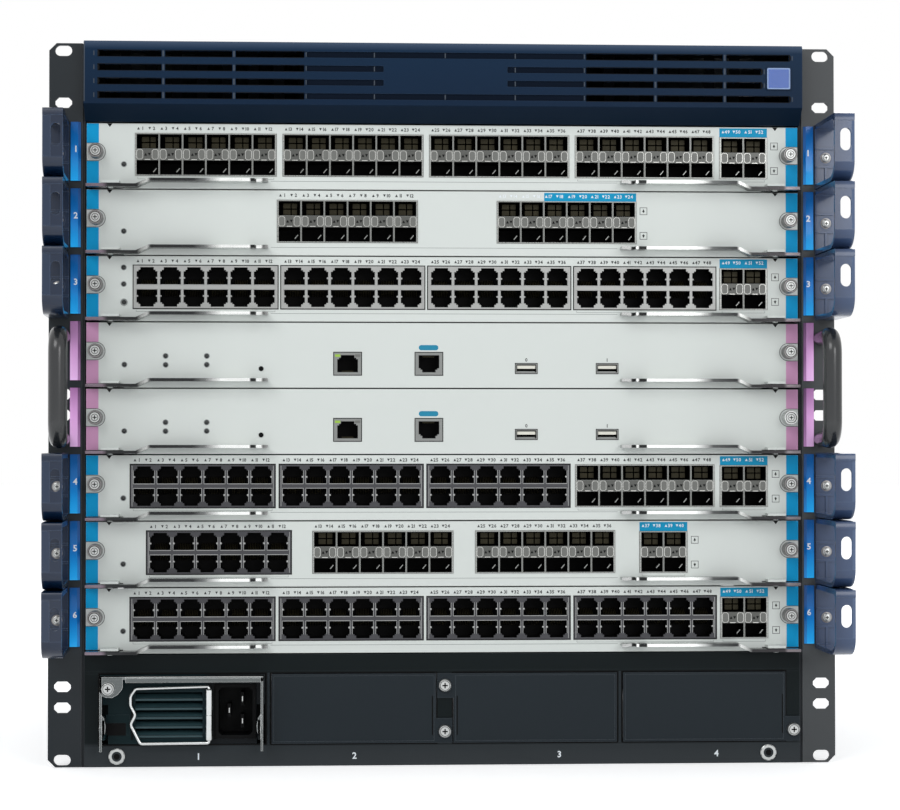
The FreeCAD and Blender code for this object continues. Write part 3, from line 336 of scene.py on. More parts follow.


# %% [markdown]
# The palette follows the real finishes: pale grey paint on the card panels, dark navy moulding on the
# bezel and cable rings, near-black powder coat on the power section, bright zinc and nickel on levers,
# screws and the supply's handle. Plain finishes fill a table; the ones that fade over the model, or
# carry painted light along their edges, are written out.

# %% Plain finishes
paint = {}
plain = (   # key, material, screen tone, roughness, metal, shine, drift, size of the drift in metres
    # The vent screen is near black: painted shade behind the bezel's slots.
    ("screen", "screen_sheet", (3, 5, 9), 0.7, 0.0, 0.05, 0.06),
    ("plate", "screw_plate", (188, 192, 190), 0.35, 0.4, 0.5, 0.04, 0.004),
    ("black", "black_moulding", (7, 8, 9), 0.5, 0.0, 0.08, 0.08, 0.01),
    # Painted shade: near black inside mouths and bores, in gaps and recesses.
    ("deep", "socket_inside", (5, 5, 6), 0.6, 0.0, 0.1, 0.1, 0.01),
    ("pale_housing", "pale_jack_housing", (160, 161, 159), 0.34, 0.5, 0.5, 0.05, 0.02),
    ("grey_housing", "grey_jack_housing", (58, 58, 62), 0.38, 0.3, 0.5, 0.06, 0.02),
    ("jack_rim", "jack_rim_edge", (158, 159, 158), 0.3, 0.6, 0.5, 0.08, 0.01),
    ("can", "jack_can", (132, 134, 132), 0.3, 0.6, 0.5, 0.06, 0.01),
    ("rim", "jack_rim", (200, 200, 196), 0.25, 0.8, 0.5, 0.05, 0.01),
    ("pipe", "light_pipe", (104, 105, 101), 0.3, 0.0, 0.5, 0.05, 0.006),
    ("brass", "brass_fingers", (48, 44, 28), 0.4, 0.3, 0.2, 0.35, 0.012),
    ("divider", "cage_divider", (112, 113, 110), 0.35, 0.4, 0.5, 0.06, 0.015),
    ("groove", "groove_shade", (6, 16, 30), 0.6, 0.0, 0.05, 0.08, 0.02),
    ("ink", "dark_print", (22, 26, 28), 0.5, 0.0, 0.5, 0.06, 0.01),
    ("hairline", "grey_print", (128, 132, 132), 0.5, 0.0, 0.5, 0.06, 0.01),
    ("teal", "teal_print", (0, 152, 208), 0.4, 0.0, 0.15, 0.05, 0.03),
    ("pink", "pink_print", (204, 150, 188), 0.4, 0.0, 0.2, 0.05, 0.03),
    ("header", "header_print", (10, 146, 190), 0.4, 0.0, 0.15, 0.04, 0.02),
    ("field", "socket_field", (36, 132, 164), 0.4, 0.0, 0.2, 0.05, 0.01),
    ("lamp_green", "green_lamp", (150, 190, 60), 0.3, 0.0, 0.5, 0.05, 0.002),
    ("white", "white_print", (228, 234, 238), 0.45, 0.0, 0.5, 0.03),
    ("chrome", "chrome_wire", (206, 208, 208), 0.16, 1.0, 0.5, 0.10, 0.004),
    ("slat", "louvre_coat", (46, 70, 75), 0.34, 0.0, 0.3, 0.08, 0.01),
    ("rotor", "rotor_moulding", (24, 25, 28), 0.4, 0.0, 0.3, 0.06),
    ("guide", "guide_plastic", (206, 208, 204), 0.45, 0.0, 0.5, 0.03),
    ("badge_rim", "badge_rim", (120, 146, 190), 0.3, 0.0, 0.5, 0.05, 0.01),
    # Painted highlights on the bezel's ribs, slot ends and left edge.
    ("tick", "rib_edge", (62, 70, 80), 0.5, 0.0, 0.2, 0.15, 0.01),
    ("pale", "pale_tongue", (226, 224, 212), 0.4, 0.0, 0.5, 0.04, 0.004),
)
for key, *values in plain:
    paint[key] = finish(*values)
print("plain finishes:", len(paint))

# %% [markdown]
# Powder coats share a coarse grain, with painted highlights along their edges. The lower lip of the
# power section, the top edge of the bezel and the right ear catch more light on the real object, so
# those coats carry painted light and fade lighter along one axis of the model. The bezel's lower band
# fades darker as painted shade, and the cable rings carry painted reflections.

# %% Coats and mouldings
powder = {"grain": 0.0007, "bump": 0.12}
thin_powder = {"drift": 0.06, "grain": 0.0007, "bump": 0.1}
gloss = {"shine": 0.4, "drift": 0.10, "grain": 0.0012, "bump": 0.05, "worn": 1.4, "coat": 0.2}
paint |= {
    # The panel's edges take a darker tone: painted shade.
    "panel": finish("panel_paint", (211, 216, 212), 0.42, drift=0.012, grain=0.0005, bump=0.05, worn=0.9,
                    worn_tone=(160, 162, 160)),
    "shell": finish("shell_coat", (36, 40, 44), 0.5, shine=0.2, drift=0.05, worn=1.2,
                    worn_tone=(84, 88, 92), **powder),
    # Painted light: the left ear darker, the right ear lighter.
    "ear": finish("ear_coat", (30, 36, 40), 0.38, shine=0.3, drift=0.06, worn=1.6,
                  worn_tone=(96, 98, 100), **powder,
                  across=("X", -241, 241, [(-241, 14, 23, 29), (241, 60, 63, 65)])),
    # Painted light: a highlight along the top edge, painted shade on the lower band.
    "bezel": finish("bezel_moulding", (10, 32, 56), 0.4, shine=0.09, drift=0.05, grain=0.0009,
                    bump=0.08, worn=1.2, worn_tone=(52, 68, 90),
                    across=("Z", 392, 441, [(392, 8, 26, 42), (402, 10, 28, 46), (403, 11, 33, 56),
                                            (436, 14, 38, 62), (440, 58, 74, 96)])),
    # Painted light: the lower lip lighter.
    "frame": finish("frame_coat", (13, 21, 23), 0.42, shine=0.1, drift=0.08, worn=1.6,
                    worn_tone=(70, 76, 80), **powder,
                    across=("Z", 0, 70, [(0, 52, 56, 59), (12, 44, 49, 52), (15, 13, 21, 23),
                                         (70, 12, 20, 22)])),
    "blank": finish("blank_coat", (32, 39, 44), 0.4, shine=0.12, worn=1.6, worn_tone=(78, 84, 90),
                    **thin_powder),
    "supply": finish("supply_coat", (11, 32, 35), 0.4, shine=0.1, worn=1.2, worn_tone=(60, 70, 74),
                     **thin_powder,
                     across=("X", -210, -109, [(-210, 11, 30, 33), (-147, 11, 32, 37), (-143, 14, 18, 21),
                                               (-109, 16, 19, 22)])),
    # Painted reflection: the right rings lighter than the left.
    "ring": finish("ring_moulding", (16, 32, 56), 0.24, worn_tone=(96, 116, 146), **gloss,
                   across=("X", -241, 241, [(-241, 6, 26, 50), (-225, 8, 30, 56),
                                                  (225, 30, 46, 76), (241, 62, 80, 112)])),
    # Painted light: the outer half of each flange in a lighter copy of the moulding.
    "ring_edge": finish("ring_outer_half_painted_light", (36, 54, 82), 0.24, worn_tone=(120, 138, 164), **gloss,
                        across=("X", -241, 241, [(-241, 22, 42, 68), (-225, 22, 42, 68),
                                                       (225, 60, 78, 108), (241, 76, 94, 126)])),
    "handle": finish("handle_coat", (34, 36, 38), 0.24, drift=0.06, grain=0.0005, bump=0.06, coat=0.2),
    "board": finish("board_lacquer", (18, 82, 56), 0.35, drift=0.12, drift_size=0.01, coat=0.3),
    "lens": finish("dark_lens", (34, 37, 37), 0.25, shine=0.3, drift=0.08, drift_size=0.002, coat=0.15),
    "badge": finish("badge_plate", (26, 78, 160), 0.3, shine=0.3, drift=0.05, drift_size=0.01, coat=0.3),
    "floor": finish("floor_paper", (250, 250, 250), 0.85, drift=0.004, drift_size=0.4, grain=0.002,
                    bump=0.01),
}
print("coats so far:", len(paint))

# %% [markdown]
# Bare metal mirrors its room unevenly. Screws get a small, strong drift of tone, and the long levers
# get painted reflections: bright and dark stretches along their length, with a bright spot at the
# hole, as every bent strip of bright sheet shows them.

# %% Bare metal
turned_metal = {"metal": 1.0, "drift_size": 0.003, "grain": 0.0004}
strip_metal = {"metal": 1.0, "drift": 0.14, "drift_size": 0.009, "grain": 0.0005, "spread": 0.08,
               "lines": 0.3}
lever_span = ("side", 100, 220)
paint |= {
    "bright": finish("bright_screw", (196, 198, 197), 0.26, drift=0.12, spread=0.08, **turned_metal),
    "screw": finish("screw_zinc", (184, 186, 185), 0.3, drift=0.14, spread=0.1, **turned_metal),
    "knob": finish("knob_nickel", (128, 126, 126), 0.34, drift=0.12, spread=0.1, **turned_metal),
    # Painted reflections: bright and dark stretches by the distance from the middle.
    "lever_left": finish(
        "lever_sheet_left", (120, 120, 120), 0.26, **strip_metal,
        across=(*lever_span, [
            (108, 150, 151, 150), (111, 90, 91, 90), (112, 232, 234, 232), (115, 232, 234, 232),
            (115.5, 44, 45, 45), (118.5, 44, 45, 45), (119, 238, 240, 238), (136, 232, 234, 232),
            (146, 110, 112, 112), (153, 52, 53, 54), (179, 48, 49, 50), (181, 180, 182, 180),
            (184, 150, 152, 150), (187, 46, 47, 48), (205, 52, 53, 54), (208, 120, 108, 118),
            (219, 120, 108, 118)])),
    "lever_right": finish(
        "lever_sheet_right", (120, 120, 120), 0.26, **strip_metal,
        across=(*lever_span, [
            (108, 170, 171, 170), (114, 170, 171, 170), (114.5, 50, 51, 51), (116.5, 50, 51, 51),
            (117, 236, 238, 236), (118, 236, 238, 236), (118.5, 44, 45, 45), (123, 44, 45, 45),
            (123.5, 240, 242, 240), (152, 236, 238, 236), (164, 80, 82, 82), (179, 50, 51, 52),
            (181, 200, 202, 200), (184, 170, 172, 170), (188, 52, 52, 53), (208, 60, 58, 60),
            (210, 118, 112, 116), (219, 110, 104, 108)])),
    "cage": finish("cage_sheet", (150, 152, 149), 0.28, 0.7, drift=0.06, drift_size=0.015, lines=0.15),
    "belt": finish("cage_belt", (84, 85, 82), 0.3, 0.5, drift=0.06, drift_size=0.015, lines=0.1),
    "zinc": finish("zinc_plate", (98, 102, 102), 0.3, 1.0, drift=0.08, drift_size=0.01, spread=0.1,
                   lines=0.12, worn=3.0, worn_tone=(226, 228, 228)),
}
print("coats so far:", len(paint))

# %% [markdown]
# The label strips on the ears are glossy and stand at a slant to the light, so each carries painted
# light: it fades from a light foot to a dark head. Its narrow inner facet is darker, a copy of the
# finish in painted shade.

# %% Label strips
strip_fades = (
    ("strip_blue", (14, 110, 190), 0.1, [(0.0, 40, 180, 255), (0.45, 8, 124, 208), (1.0, 0, 78, 146)]),
    ("strip_blue_inner", (8, 70, 130), 0.0, [(0.0, 20, 140, 220), (0.45, 4, 98, 176), (1.0, 0, 66, 128)]),
    ("strip_pink", (226, 160, 226), 0.1, [(0.0, 246, 196, 248), (0.5, 236, 176, 236),
                                          (1.0, 166, 112, 166)]),
    ("strip_pink_inner", (150, 96, 150), 0.0, [(0.0, 186, 132, 188), (0.5, 156, 106, 158),
                                               (1.0, 104, 66, 108)]),
)
for name, screen, coat, fade in strip_fades:
    paint[name] = finish(name, screen, 0.2, shine=0.3, drift=0.05, drift_size=0.01, coat=coat, rise=fade)
print("finishes:", len(paint))

# %% [markdown]
# Paper that runs to the horizon gets less light the further it lies from the lamps, and would end in a
# grey band. A glow that only the camera, reflections and glass rays see lifts it to white, and the soft
# shadow under the chassis stays, because the glow is added to the light that the paper gets.

# %% Glow of the floor
floor_tree = paint["floor"].node_tree
floor_shader = floor_tree.nodes["Principled BSDF"].inputs
glow = add(floor_tree, "CombineColor", {channel: white_for_rays(floor_tree) for channel in range(3)})
feed(floor_tree, floor_shader["Emission Color"], glow[0])
floor_shader["Emission Strength"].default_value = 0.42
print("glow of the floor:", round(floor_shader["Emission Strength"].default_value, 2))

# %% [markdown]
# CAD nodes whose form is right keep it, and only get their finish. Assigning to a node's material slots
# changes its look and leaves its mesh alone.

# %% Finishes on the CAD nodes
node_coats = {
    "shell": ["chassis_shell", "fan_tray", "power_partitions"],
    "ear": ["rack_ears"],
    "bezel": ["vent_bezel"],
    "screen": ["vent_screen"],
    "frame": ["power_frame"],
    "blank": ["power_blanks"],
    "supply": ["supply_case"],
    "guide": ["card_guides"],
    "rotor": ["fan_rotor_upper", "fan_rotor_lower"],
    "black": ["card_4_reset_button", "card_5_reset_button", "supply_inlet"],
    "lens": ["card_3_mode_button"],
    "board": ["backplane"] + [f"card_{n}_board" for n in line_cards],
    "panel": [f"card_{n}_panel" for n in slots],
    "lever_left": [f"card_{n}_lever_left" for n in slots],
    "lever_right": [f"card_{n}_lever_right" for n in slots],
}
for key, names in node_coats.items():
    for name in names:
        for place in nodes[name].material_slots:
            place.material = paint[key]
print("finished nodes:", sum(len(names) for names in node_coats.values()))

# %% [markdown]
# Every new piece is built the same way: points are gathered as closed rings, faces join one ring to the
# next, and the ends are closed. Boxes, prisms, turned forms and bent rods are all this one loft, so a
# single class holds them and turns the result into a finished object that rides on its body.

# %% The shape builder
piece_count = {}


def rect(x0, x1, z0, z1):
    return [(x0, z0), (x1, z0), (x1, z1), (x0, z1)]


def cross(a, b):
    return (a[1] * b[2] - a[2] * b[1], a[2] * b[0] - a[0] * b[2], a[0] * b[1] - a[1] * b[0])


def unit(a):
    length = math.sqrt(sum(v * v for v in a))
    return tuple(v / length for v in a)


class Shape:
    """Gathers closed forms in millimetres and makes one object of them."""

    def __init__(self):
        self.mesh = bmesh.new()

    def point(self, x, y, z):
        return self.mesh.verts.new((x * mm, front + y * mm, z * mm))

    def face(self, corners, coat):
        made = self.mesh.faces.new(corners)
        made.material_index = coat
        return made

    def loft(self, rings, coat=0, end_coat=None, closed=False):
        """Joins rings of points; the first and last are capped unless the form closes on itself."""
        rings = [[self.point(*p) for p in ring] for ring in rings]
        pairs = list(zip(rings, rings[1:])) + ([(rings[-1], rings[0])] if closed else [])
        for ring, following in pairs:
            for i in range(len(ring)):
                j = (i + 1) % len(ring)
                self.face([ring[i], ring[j], following[j], following[i]], coat)
        if not closed:
            for ring in (rings[0], rings[-1]):
                self.face(ring, coat if end_coat is None else end_coat)

    def prism(self, outline, y0, y1, coat=0):
        """Along Y over an outline of X and Z."""
        self.loft([[(x, y, z) for x, z in outline] for y in (y0, y1)], coat)

    def side_prism(self, outline, x0, x1, coat=0):
        """Along X over an outline of Y and Z."""
        self.loft([[(x, y, z) for y, z in outline] for x in (x0, x1)], coat)

    def plate(self, outline, z0, z1, coat=0):
        """Along Z over an outline of X and Y."""
        self.loft([[(x, y, z) for x, y in outline] for z in (z0, z1)], coat)

    def block(self, x0, x1, y0, y1, z0, z1, coat=0):
        self.prism(rect(x0, x1, z0, z1), y0, y1, coat)

    def tile(self, x, z, half_wide, half_tall, y0, y1, coat=0):
        """A block by its middle and half sizes, as seen from the front."""
        self.block(x - half_wide, x + half_wide, y0, y1, z - half_tall, z + half_tall, coat)

    def turned(self, x, z, profile, sides=24, coat=0, knurl=0.0):
        """Turned about a line along Y; profile is a list of radius and Y, knurl adds teeth."""
        turns = [2 * math.pi * (i + 0.5) / sides for i in range(sides)]
        rings = []
        for radius, y in profile:
            tooth = knurl if radius > 0.8 * profile[0][0] else 0
            reach = [radius + tooth * (i % 2) for i in range(sides)]
            rings.append([(x + r * math.cos(t), y, z + r * math.sin(t)) for r, t in zip(reach, turns)])
        self.loft(rings, coat)

    def rod(self, path, radius, sides=12, coat=0):
        """A round rod along a smooth path of points; radius is one number, or one for each point."""
        radii = radius if isinstance(radius, list) else [radius] * len(path)
        rings = []
        side = (1.0, 0.0, 0.0)
        for i, point in enumerate(path):
            ahead = path[min(i + 1, len(path) - 1)]
            behind = path[max(i - 1, 0)]
            run = unit([ahead[k] - behind[k] for k in range(3)])
            side = unit(cross(cross(run, side), run))
            other = cross(run, side)
            turns = [2 * math.pi * j / sides for j in range(sides)]
            rings.append([tuple(point[k] + radii[i] * (side[k] * math.cos(t) + other[k] * math.sin(t))
                                for k in range(3)) for t in turns])
        self.loft(rings, coat)

    def pocketed(self, outline, pockets, y0, y1, coat=0, inside=0):
        """A block along Y over an outline, with pockets given as an outline and the Y of its floor."""
        edges = []
        for loop, end_y, look in [(outline, y1, coat)] + [(hole, floor, inside) for hole, floor in pockets]:
            rim = [self.point(x, y0, z) for x, z in loop]
            end = [self.point(x, end_y, z) for x, z in loop]
            edges += [self.mesh.edges.new((rim[i - 1], rim[i])) for i in range(len(rim))]
            for i in range(len(rim)):
                self.face([rim[i - 1], rim[i], end[i], end[i - 1]], look)
            self.face(end, look)
        filled = bmesh.ops.triangle_fill(self.mesh, edges=edges, use_beauty=True)["geom"]
        for part in filled:
            if isinstance(part, bmesh.types.BMFace):
                part.material_index = coat

    def done(self, name, body, slot, coats, stands_for=(), bevel=0.0, smooth=32, rise=None):
        """Makes the object. bevel is a rounding in mm; rise gives the low and high Z of a fade."""
        bmesh.ops.recalc_face_normals(self.mesh, faces=self.mesh.faces)
        data = bpy.data.meshes.new(name)
        self.mesh.to_mesh(data)
        self.mesh.free()
        if rise:
            heights = data.attributes.new("rise", "FLOAT", "POINT")
            for i, vertex in enumerate(data.vertices):
                heights.data[i].value = (vertex.co.z / mm - rise[0]) / (rise[1] - rise[0])
        for key in coats:
            data.materials.append(paint[key])
        data.shade_smooth()
        data.set_sharp_from_angle(angle=math.radians(smooth))
        piece = bpy.data.objects.new(name, data)
        bpy.context.collection.objects.link(piece)
        if bevel:
            rounding = piece.modifiers.new("rounding", "BEVEL")
            rounding.width = bevel * mm
            rounding.segments = 2
            rounding.limit_method = "ANGLE"
        piece_count[slot] = piece_count.get(slot, 0) + 1
        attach(piece, body)
        if stands_for:
            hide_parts(*stands_for)


print("shapes:", [name for name in vars(Shape) if not name.startswith("_")])

# %% [markdown]
# A few outlines come back on many pieces: arcs, rectangles with round corners, thin frames, rings and
# crossed screw heads. They are plain functions of a shape, so each piece below can call them.

# %% Outlines and small forms
frame_sheet = 0.12          # how thick a printed or folded frame is


def arc(cx, cz, radius, start, stop, steps):
    """Points of an arc in a plane, by angles in degrees."""
    turns = [math.radians(start + (stop - start) * i / steps) for i in range(steps + 1)]
    return [(cx + radius * math.cos(t), cz + radius * math.sin(t)) for t in turns]


def rounded(x0, x1, z0, z1, radius, steps=4):
    """Outline of a rectangle with round corners."""
    corners = zip((x1 - radius, x0 + radius, x0 + radius, x1 - radius),
                  (z1 - radius, z1 - radius, z0 + radius, z0 + radius), range(0, 360, 90))
    return [point for x, z, start in corners for point in arc(x, z, radius, start, start + 90, steps)]


def outline_frame(shape, x0, x1, z0, z1, wide, y, coat):
    """A thin frame on a face that looks to the front, by its outer edges."""
    for low, high in ((z1 - wide, z1), (z0, z0 + wide)):
        shape.block(x0, x1, y, y + frame_sheet, low, high, coat)
    for left in (x0, x1 - wide):
        shape.block(left, left + wide, y, y + frame_sheet, z0 + wide, z1 - wide, coat)


def hoop(shape, x, z, profile, coat, sides=32):
    """A turned ring about a line along Y; profile is a closed section of radius and Y."""
    turns = [2 * math.pi * i / sides for i in range(sides)]
    rings = [[(x + reach * math.cos(t), y, z + reach * math.sin(t)) for t in turns]
             for reach, y in profile]
    shape.loft(rings, coat, closed=True)


def crossed(shape, x, z, long, wide, y0, y1, coat):
    """The two bars of a crossed recess."""
    for half_wide, half_tall in ((long / 2, wide / 2), (wide / 2, long / 2)):
        shape.tile(x, z, half_wide, half_tall, y0, y1, coat)


def cross_screw(shape, x, z, radius, seat, face, coat=0, dark=1):
    """A pan head with a turned ring and a crossed recess, its axis along Y; its dark ring and cross are
    painted shade.
    """
    rise = seat - face
    shape.turned(x, z, [(radius, seat), (radius, face + 0.4 * rise), (radius * 0.9, face + 0.12 * rise),
                        (radius * 0.78, face + 0.05), (radius * 0.3, face + 0.05)], 28, coat)
    outer, inner = radius * 0.74, radius * 0.66
    hoop(shape, x, z, [(outer, face + 0.1), (outer, face), (inner, face), (inner, face + 0.1)], dark)
    crossed(shape, x, z, radius * 0.8, radius * 0.2, face - 0.04, face + 0.2, dark)


print("points of a round corner frame:", len(rounded(0, 2, 0, 2, 0.5)))

# %% [markdown]
# The floor is a wide disc of pale paper. It catches a soft shadow, and a reader who looks from any side
# sees the same white room.

# %% Floor
floor_mesh = bmesh.new()
bmesh.ops.create_circle(floor_mesh, cap_ends=True, segments=96, radius=9.0)
floor_data = bpy.data.meshes.new("floor")
floor_mesh.to_mesh(floor_data)
floor_mesh.free()
floor_data.materials.append(paint["floor"])
floor = bpy.data.objects.new("floor", floor_data)
bpy.context.collection.objects.link(floor)
print("floor radius in metres:", floor.dimensions.x / 2)

# %% [markdown]
# The numbers are plain glyphs from Blender's own font, turned into mesh once for each digit and then
# stamped as thin plates. Curves would also do, but plates of mesh give the same print in every view and
# in the export.

# %% Digits
print_height = 0.05          # how far print stands off its surface
digit_gap = 0.16             # between digits, as a share of their height
stroke_gain = 0.022          # makes the strokes a little bolder
digit_store = {}


def digit_mesh(sign):
    """Points and faces of one digit, one unit tall, lower left corner at zero."""
    if sign not in digit_store:
        text = bpy.data.curves.new("digit", "FONT")
        text.body = sign
        text.resolution_u = 2
        text.offset = stroke_gain
        carrier = bpy.data.objects.new("digit", text)
        bpy.context.collection.objects.link(carrier)
        graph = bpy.context.evaluated_depsgraph_get()
        shape = bpy.data.meshes.new_from_object(carrier.evaluated_get(graph))
        xs, ys = ([v.co[axis] for v in shape.vertices] for axis in (0, 1))
        size = max(ys) - min(ys)
        points = [((x - min(xs)) / size, (y - min(ys)) / size) for x, y in zip(xs, ys)]
        digit_store[sign] = (points, [list(f.vertices) for f in shape.polygons], (max(xs) - min(xs)) / size)
        bpy.data.objects.remove(carrier)
        bpy.data.curves.remove(text)
        bpy.data.meshes.remove(shape)
    return digit_store[sign]


def stamp_number(shape, number, x, z, height, y, coat=0):
    """A number centred on a point of a surface that faces the front."""
    signs = str(number)
    width = sum(digit_mesh(s)[2] for s in signs) + digit_gap * (len(signs) - 1)
    pen = x - width * height / 2
    for sign in signs:
        points, faces, wide = digit_mesh(sign)
        corners = [shape.point(pen + px * height, y, z + (pz - 0.5) * height) for px, pz in points]
        for face in faces:
            shape.face([corners[i] for i in face], coat)
        pen += (wide + digit_gap) * height


def stamp_mark(shape, x, z, size, up, y, coat=0):
    """A small triangle that points up or down."""
    tip = size / 2 if up else -size / 2
    shape.prism([(x - size / 2, z - tip), (x + size / 2, z - tip), (x, z + tip)], y, y + print_height, coat)


print("width of a zero, as a share of its height:", round(digit_mesh("0")[2], 2))

# %% [markdown]
# Port blocks. A block of network jacks is one moulding with twelve mouths, each with a stepped notch for
# the plug's latch, a bright shield rim and two spring bumps. A block of optical cages is thin sheet with
# full-height dividers, a belt of light pipes between the rows and spring fingers inside.

# %% Jack blocks
port_face = -0.45                       # Y of the front of every block
port_seat = port_face + 0.1             # Y that its trim is sunk to
block_low = 8.3                         # lower edge of a block, over the bottom of its slot
copper_size = (87.6, 26.0)
copper_step = (copper_size[0] - 2) / 6
mouth_half = 6.3
mouth_body = 8.0
mouth_steps = ((5.2, 8.9), (4.1, 10.5))  # half width and height of the two steps for the latch
mouth_margin = 0.95
jack_depth, block_depth = 13.0, 24.0
contact_step = 1.02


def jack_mouth(x, z, up):
    """Outline of one mouth: z is the edge away from its latch."""
    (wide, low), (narrow, high) = mouth_steps
    half = [(mouth_half, 0.0), (mouth_half, mouth_body), (wide, mouth_body), (wide, low), (narrow, low),
            (narrow, high)]
    outline = half + [(-px, pz) for px, pz in reversed(half)]
    sign = 1 if up else -1
    return [(x + px, z + sign * pz) for px, pz in outline]


def jack_trim(shape, x, z, up):
    """Rim lines, spring bumps and the eight contacts of one mouth."""
    sign = 1 if up else -1
    y = port_face - 0.18
    for side in (-1, 1):
        edge = x + side * (mouth_half + 0.16)
        z0, z1 = sorted((z - sign * 0.3, z + sign * mouth_body))
        shape.block(edge - 0.14, edge + 0.14, y, port_seat, z0, z1, 1)
        bump = [(0.2, y - 0.1), (0.62, y + 0.15), (0.62, port_face + 1.2)]
        shape.turned(x + side * (mouth_half - 0.35), z + sign * mouth_body * 0.5, bump, 8, 1)
    z0, z1 = sorted((z - sign * 0.4, z - sign * 0.05))
    shape.block(x - mouth_half - 0.3, x + mouth_half + 0.3, y, port_seat, z0, z1, 1)
    contact = [(4.0, z + sign * 0.3), (11.0, z + sign * 3.6), (11.4, z + sign * 3.3), (4.3, z)]
    for i in range(8):
        cx = x + (i - 3.5) * contact_step
        shape.side_prism(contact, cx - 0.2, cx + 0.2, 3)


def jack_block(name, x, base, housing, body, extra):
    z0, z1 = base + block_low, base + block_low + copper_size[1]
    half = copper_size[0] / 2
    reach = mouth_margin + mouth_steps[1][1]
    shape = Shape()
    pockets = []
    for column in range(6):
        cx = x + (column - 2.5) * copper_step
        for z, up in ((z0 + reach, False), (z1 - reach, True)):
            pockets.append((jack_mouth(cx, z, up), jack_depth))
            jack_trim(shape, cx, z, up)
    # The insides of the mouths are near black: painted shade.
    shape.pocketed(rect(x - half, x + half, z0, z1), pockets, port_face, block_depth, 0, 2)
    for side in (-1, 1):
        edge = x + side * (half - 0.9)
        shape.block(edge - 0.15, edge + 0.15, port_face - 0.12, port_seat, z0 + 0.6, z1 - 0.6, 1)
    # A dark frame in the gap round the block: painted shade.
    outline_frame(shape, x - half - 0.6, x + half + 0.6, z0 - 0.6, z1 + 0.6, 0.7, -0.13, 2)
    shape.done(name, body, "copper_housing", [housing, "jack_rim", "deep", "brass"], extra)


print("jack step:", round(copper_step, 2))

# %% [markdown]
# A cage for optical plugs is folded sheet. Each column has two plain mouths, and the belt between them
# carries two light pipes with an arrow each. Dark spring fingers and one glint show inside.

# %% Optical cages
cage_sizes = {6: (86.0, 25.9), 2: (29.6, 25.4)}     # width and height, by the number of columns
cage_step = 14.2
cage_mouth = (13.3, 8.9)
cage_margin = 0.55
cage_depth = 20.0
pipe_outline = ((-2.0, -2.1), (-1.1, -3.1), (1.1, -3.1), (2.0, -2.1), (2.0, 2.1), (1.1, 3.1), (-1.1, 3.1),
                (-2.0, 2.1))
glint = ((3.0, 2.2), (5.0, 4.6), (5.4, 4.3), (3.4, 1.9))


def cage_trim(shape, x, z_low, z_belt, z_high):
    """Light pipes, marks and spring fingers of one column."""
    y = port_face - 0.15
    shape.tile(x, z_belt, 6.6, 3.4, port_face - 0.06, port_seat, 6)
    for side in (-1, 1):
        px = x + side * 4.65
        shape.prism([(px + dx, z_belt + dz) for dx, dz in pipe_outline], y, port_seat, 1)
        inner = [(px + dx * 0.86, z_belt + dz * 0.92) for dx, dz in pipe_outline]
        shape.prism(inner, y - 0.15, port_face, 2)
    for side in (-1, 1):
        stamp_mark(shape, x + side * 1.1, z_belt, 1.7, side < 0, y - 0.05, 4)
    shape.block(x - 1.7, x + 1.7, y - 0.05, port_seat, z_belt - 3.3, z_belt - 2.9, 1)
    for place, half_wide in ((-1.7, 2.2), (2.9, 1.6)):
        for lift in (1.2, 5.0):
            shape.tile(x + place, z_high + lift + 1.5, half_wide, 1.5, 7.0, 12.0, 5)
    shape.prism([(x + dx, z_low + dz) for dx, dz in glint], 4.0, 4.4, 0)


def cage_block(name, x, base, columns, body, extra):
    width, height = cage_sizes[columns]
    z0, z1 = base + block_low, base + block_low + height
    half = width / 2
    shape = Shape()
    pockets = []
    low_z, high_z = z0 + cage_margin, z1 - cage_margin - cage_mouth[1]
    belt_z = (low_z + cage_mouth[1] + high_z) / 2
    for column in range(columns):
        cx = x + (column - (columns - 1) / 2) * cage_step
        for z in (low_z, high_z):
            mouth = rect(cx - cage_mouth[0] / 2, cx + cage_mouth[0] / 2, z, z + cage_mouth[1])
            pockets.append((mouth, cage_depth))
        cage_trim(shape, cx, low_z, belt_z, high_z)
    # The insides of the mouths are near black: painted shade.
    shape.pocketed(rect(x - half, x + half, z0, z1), pockets, port_face, block_depth, 0, 3)
    for column in range(1, columns):
        cx = x + (column - columns / 2) * cage_step
        shape.block(cx - 0.2, cx + 0.2, port_face - 0.3, port_seat, z0 + 0.4, z1 - 0.4, 7)
    coats = ["cage", "rim", "pipe", "deep", "black", "brass", "belt", "divider"]
    shape.done(name, body, "optic_cage", coats, extra)


print("cage step:", cage_step, "mouth:", cage_mouth)

# %% [markdown]
# Which blocks each line card carries is the switch's own layout. A block is told by the finish of its
# jacks, or by its number of optical columns, and by its middle in X.

# %% Ports of every card
light, grey = "pale_housing", "grey_housing"
card_blocks = {
    1: ((6, -146.1), (6, -56.2), (6, 33.6), (6, 123.4), (2, 184.7)),
    2: ((6, -59.6), (6, 75.2)),
    3: ((light, -146.1), (light, -56.3), (light, 33.6), (light, 123.5), (2, 184.7)),
    6: ((grey, -147.7), (grey, -57.2), (grey, 33.1), (6, 123.4), (2, 184.7)),
    7: ((grey, -137.8), (6, -37.8), (6, 61.8), (2, 134.8)),
    8: ((grey, -147.7), (grey, -57.2), (grey, 33.1), (grey, 123.5), (2, 184.8)),
}
for n, blocks in card_blocks.items():
    for i, (kind, x) in enumerate(blocks):
        build = jack_block if isinstance(kind, str) else cage_block
        stands = (f"card_{n}_ports",) if i == 0 else ()
        build(f"card_{n}_block_{i + 1}", x, slot_floor[n], kind, f"card_{n}", stands)
print("port blocks:", sum(len(b) for b in card_blocks.values()))

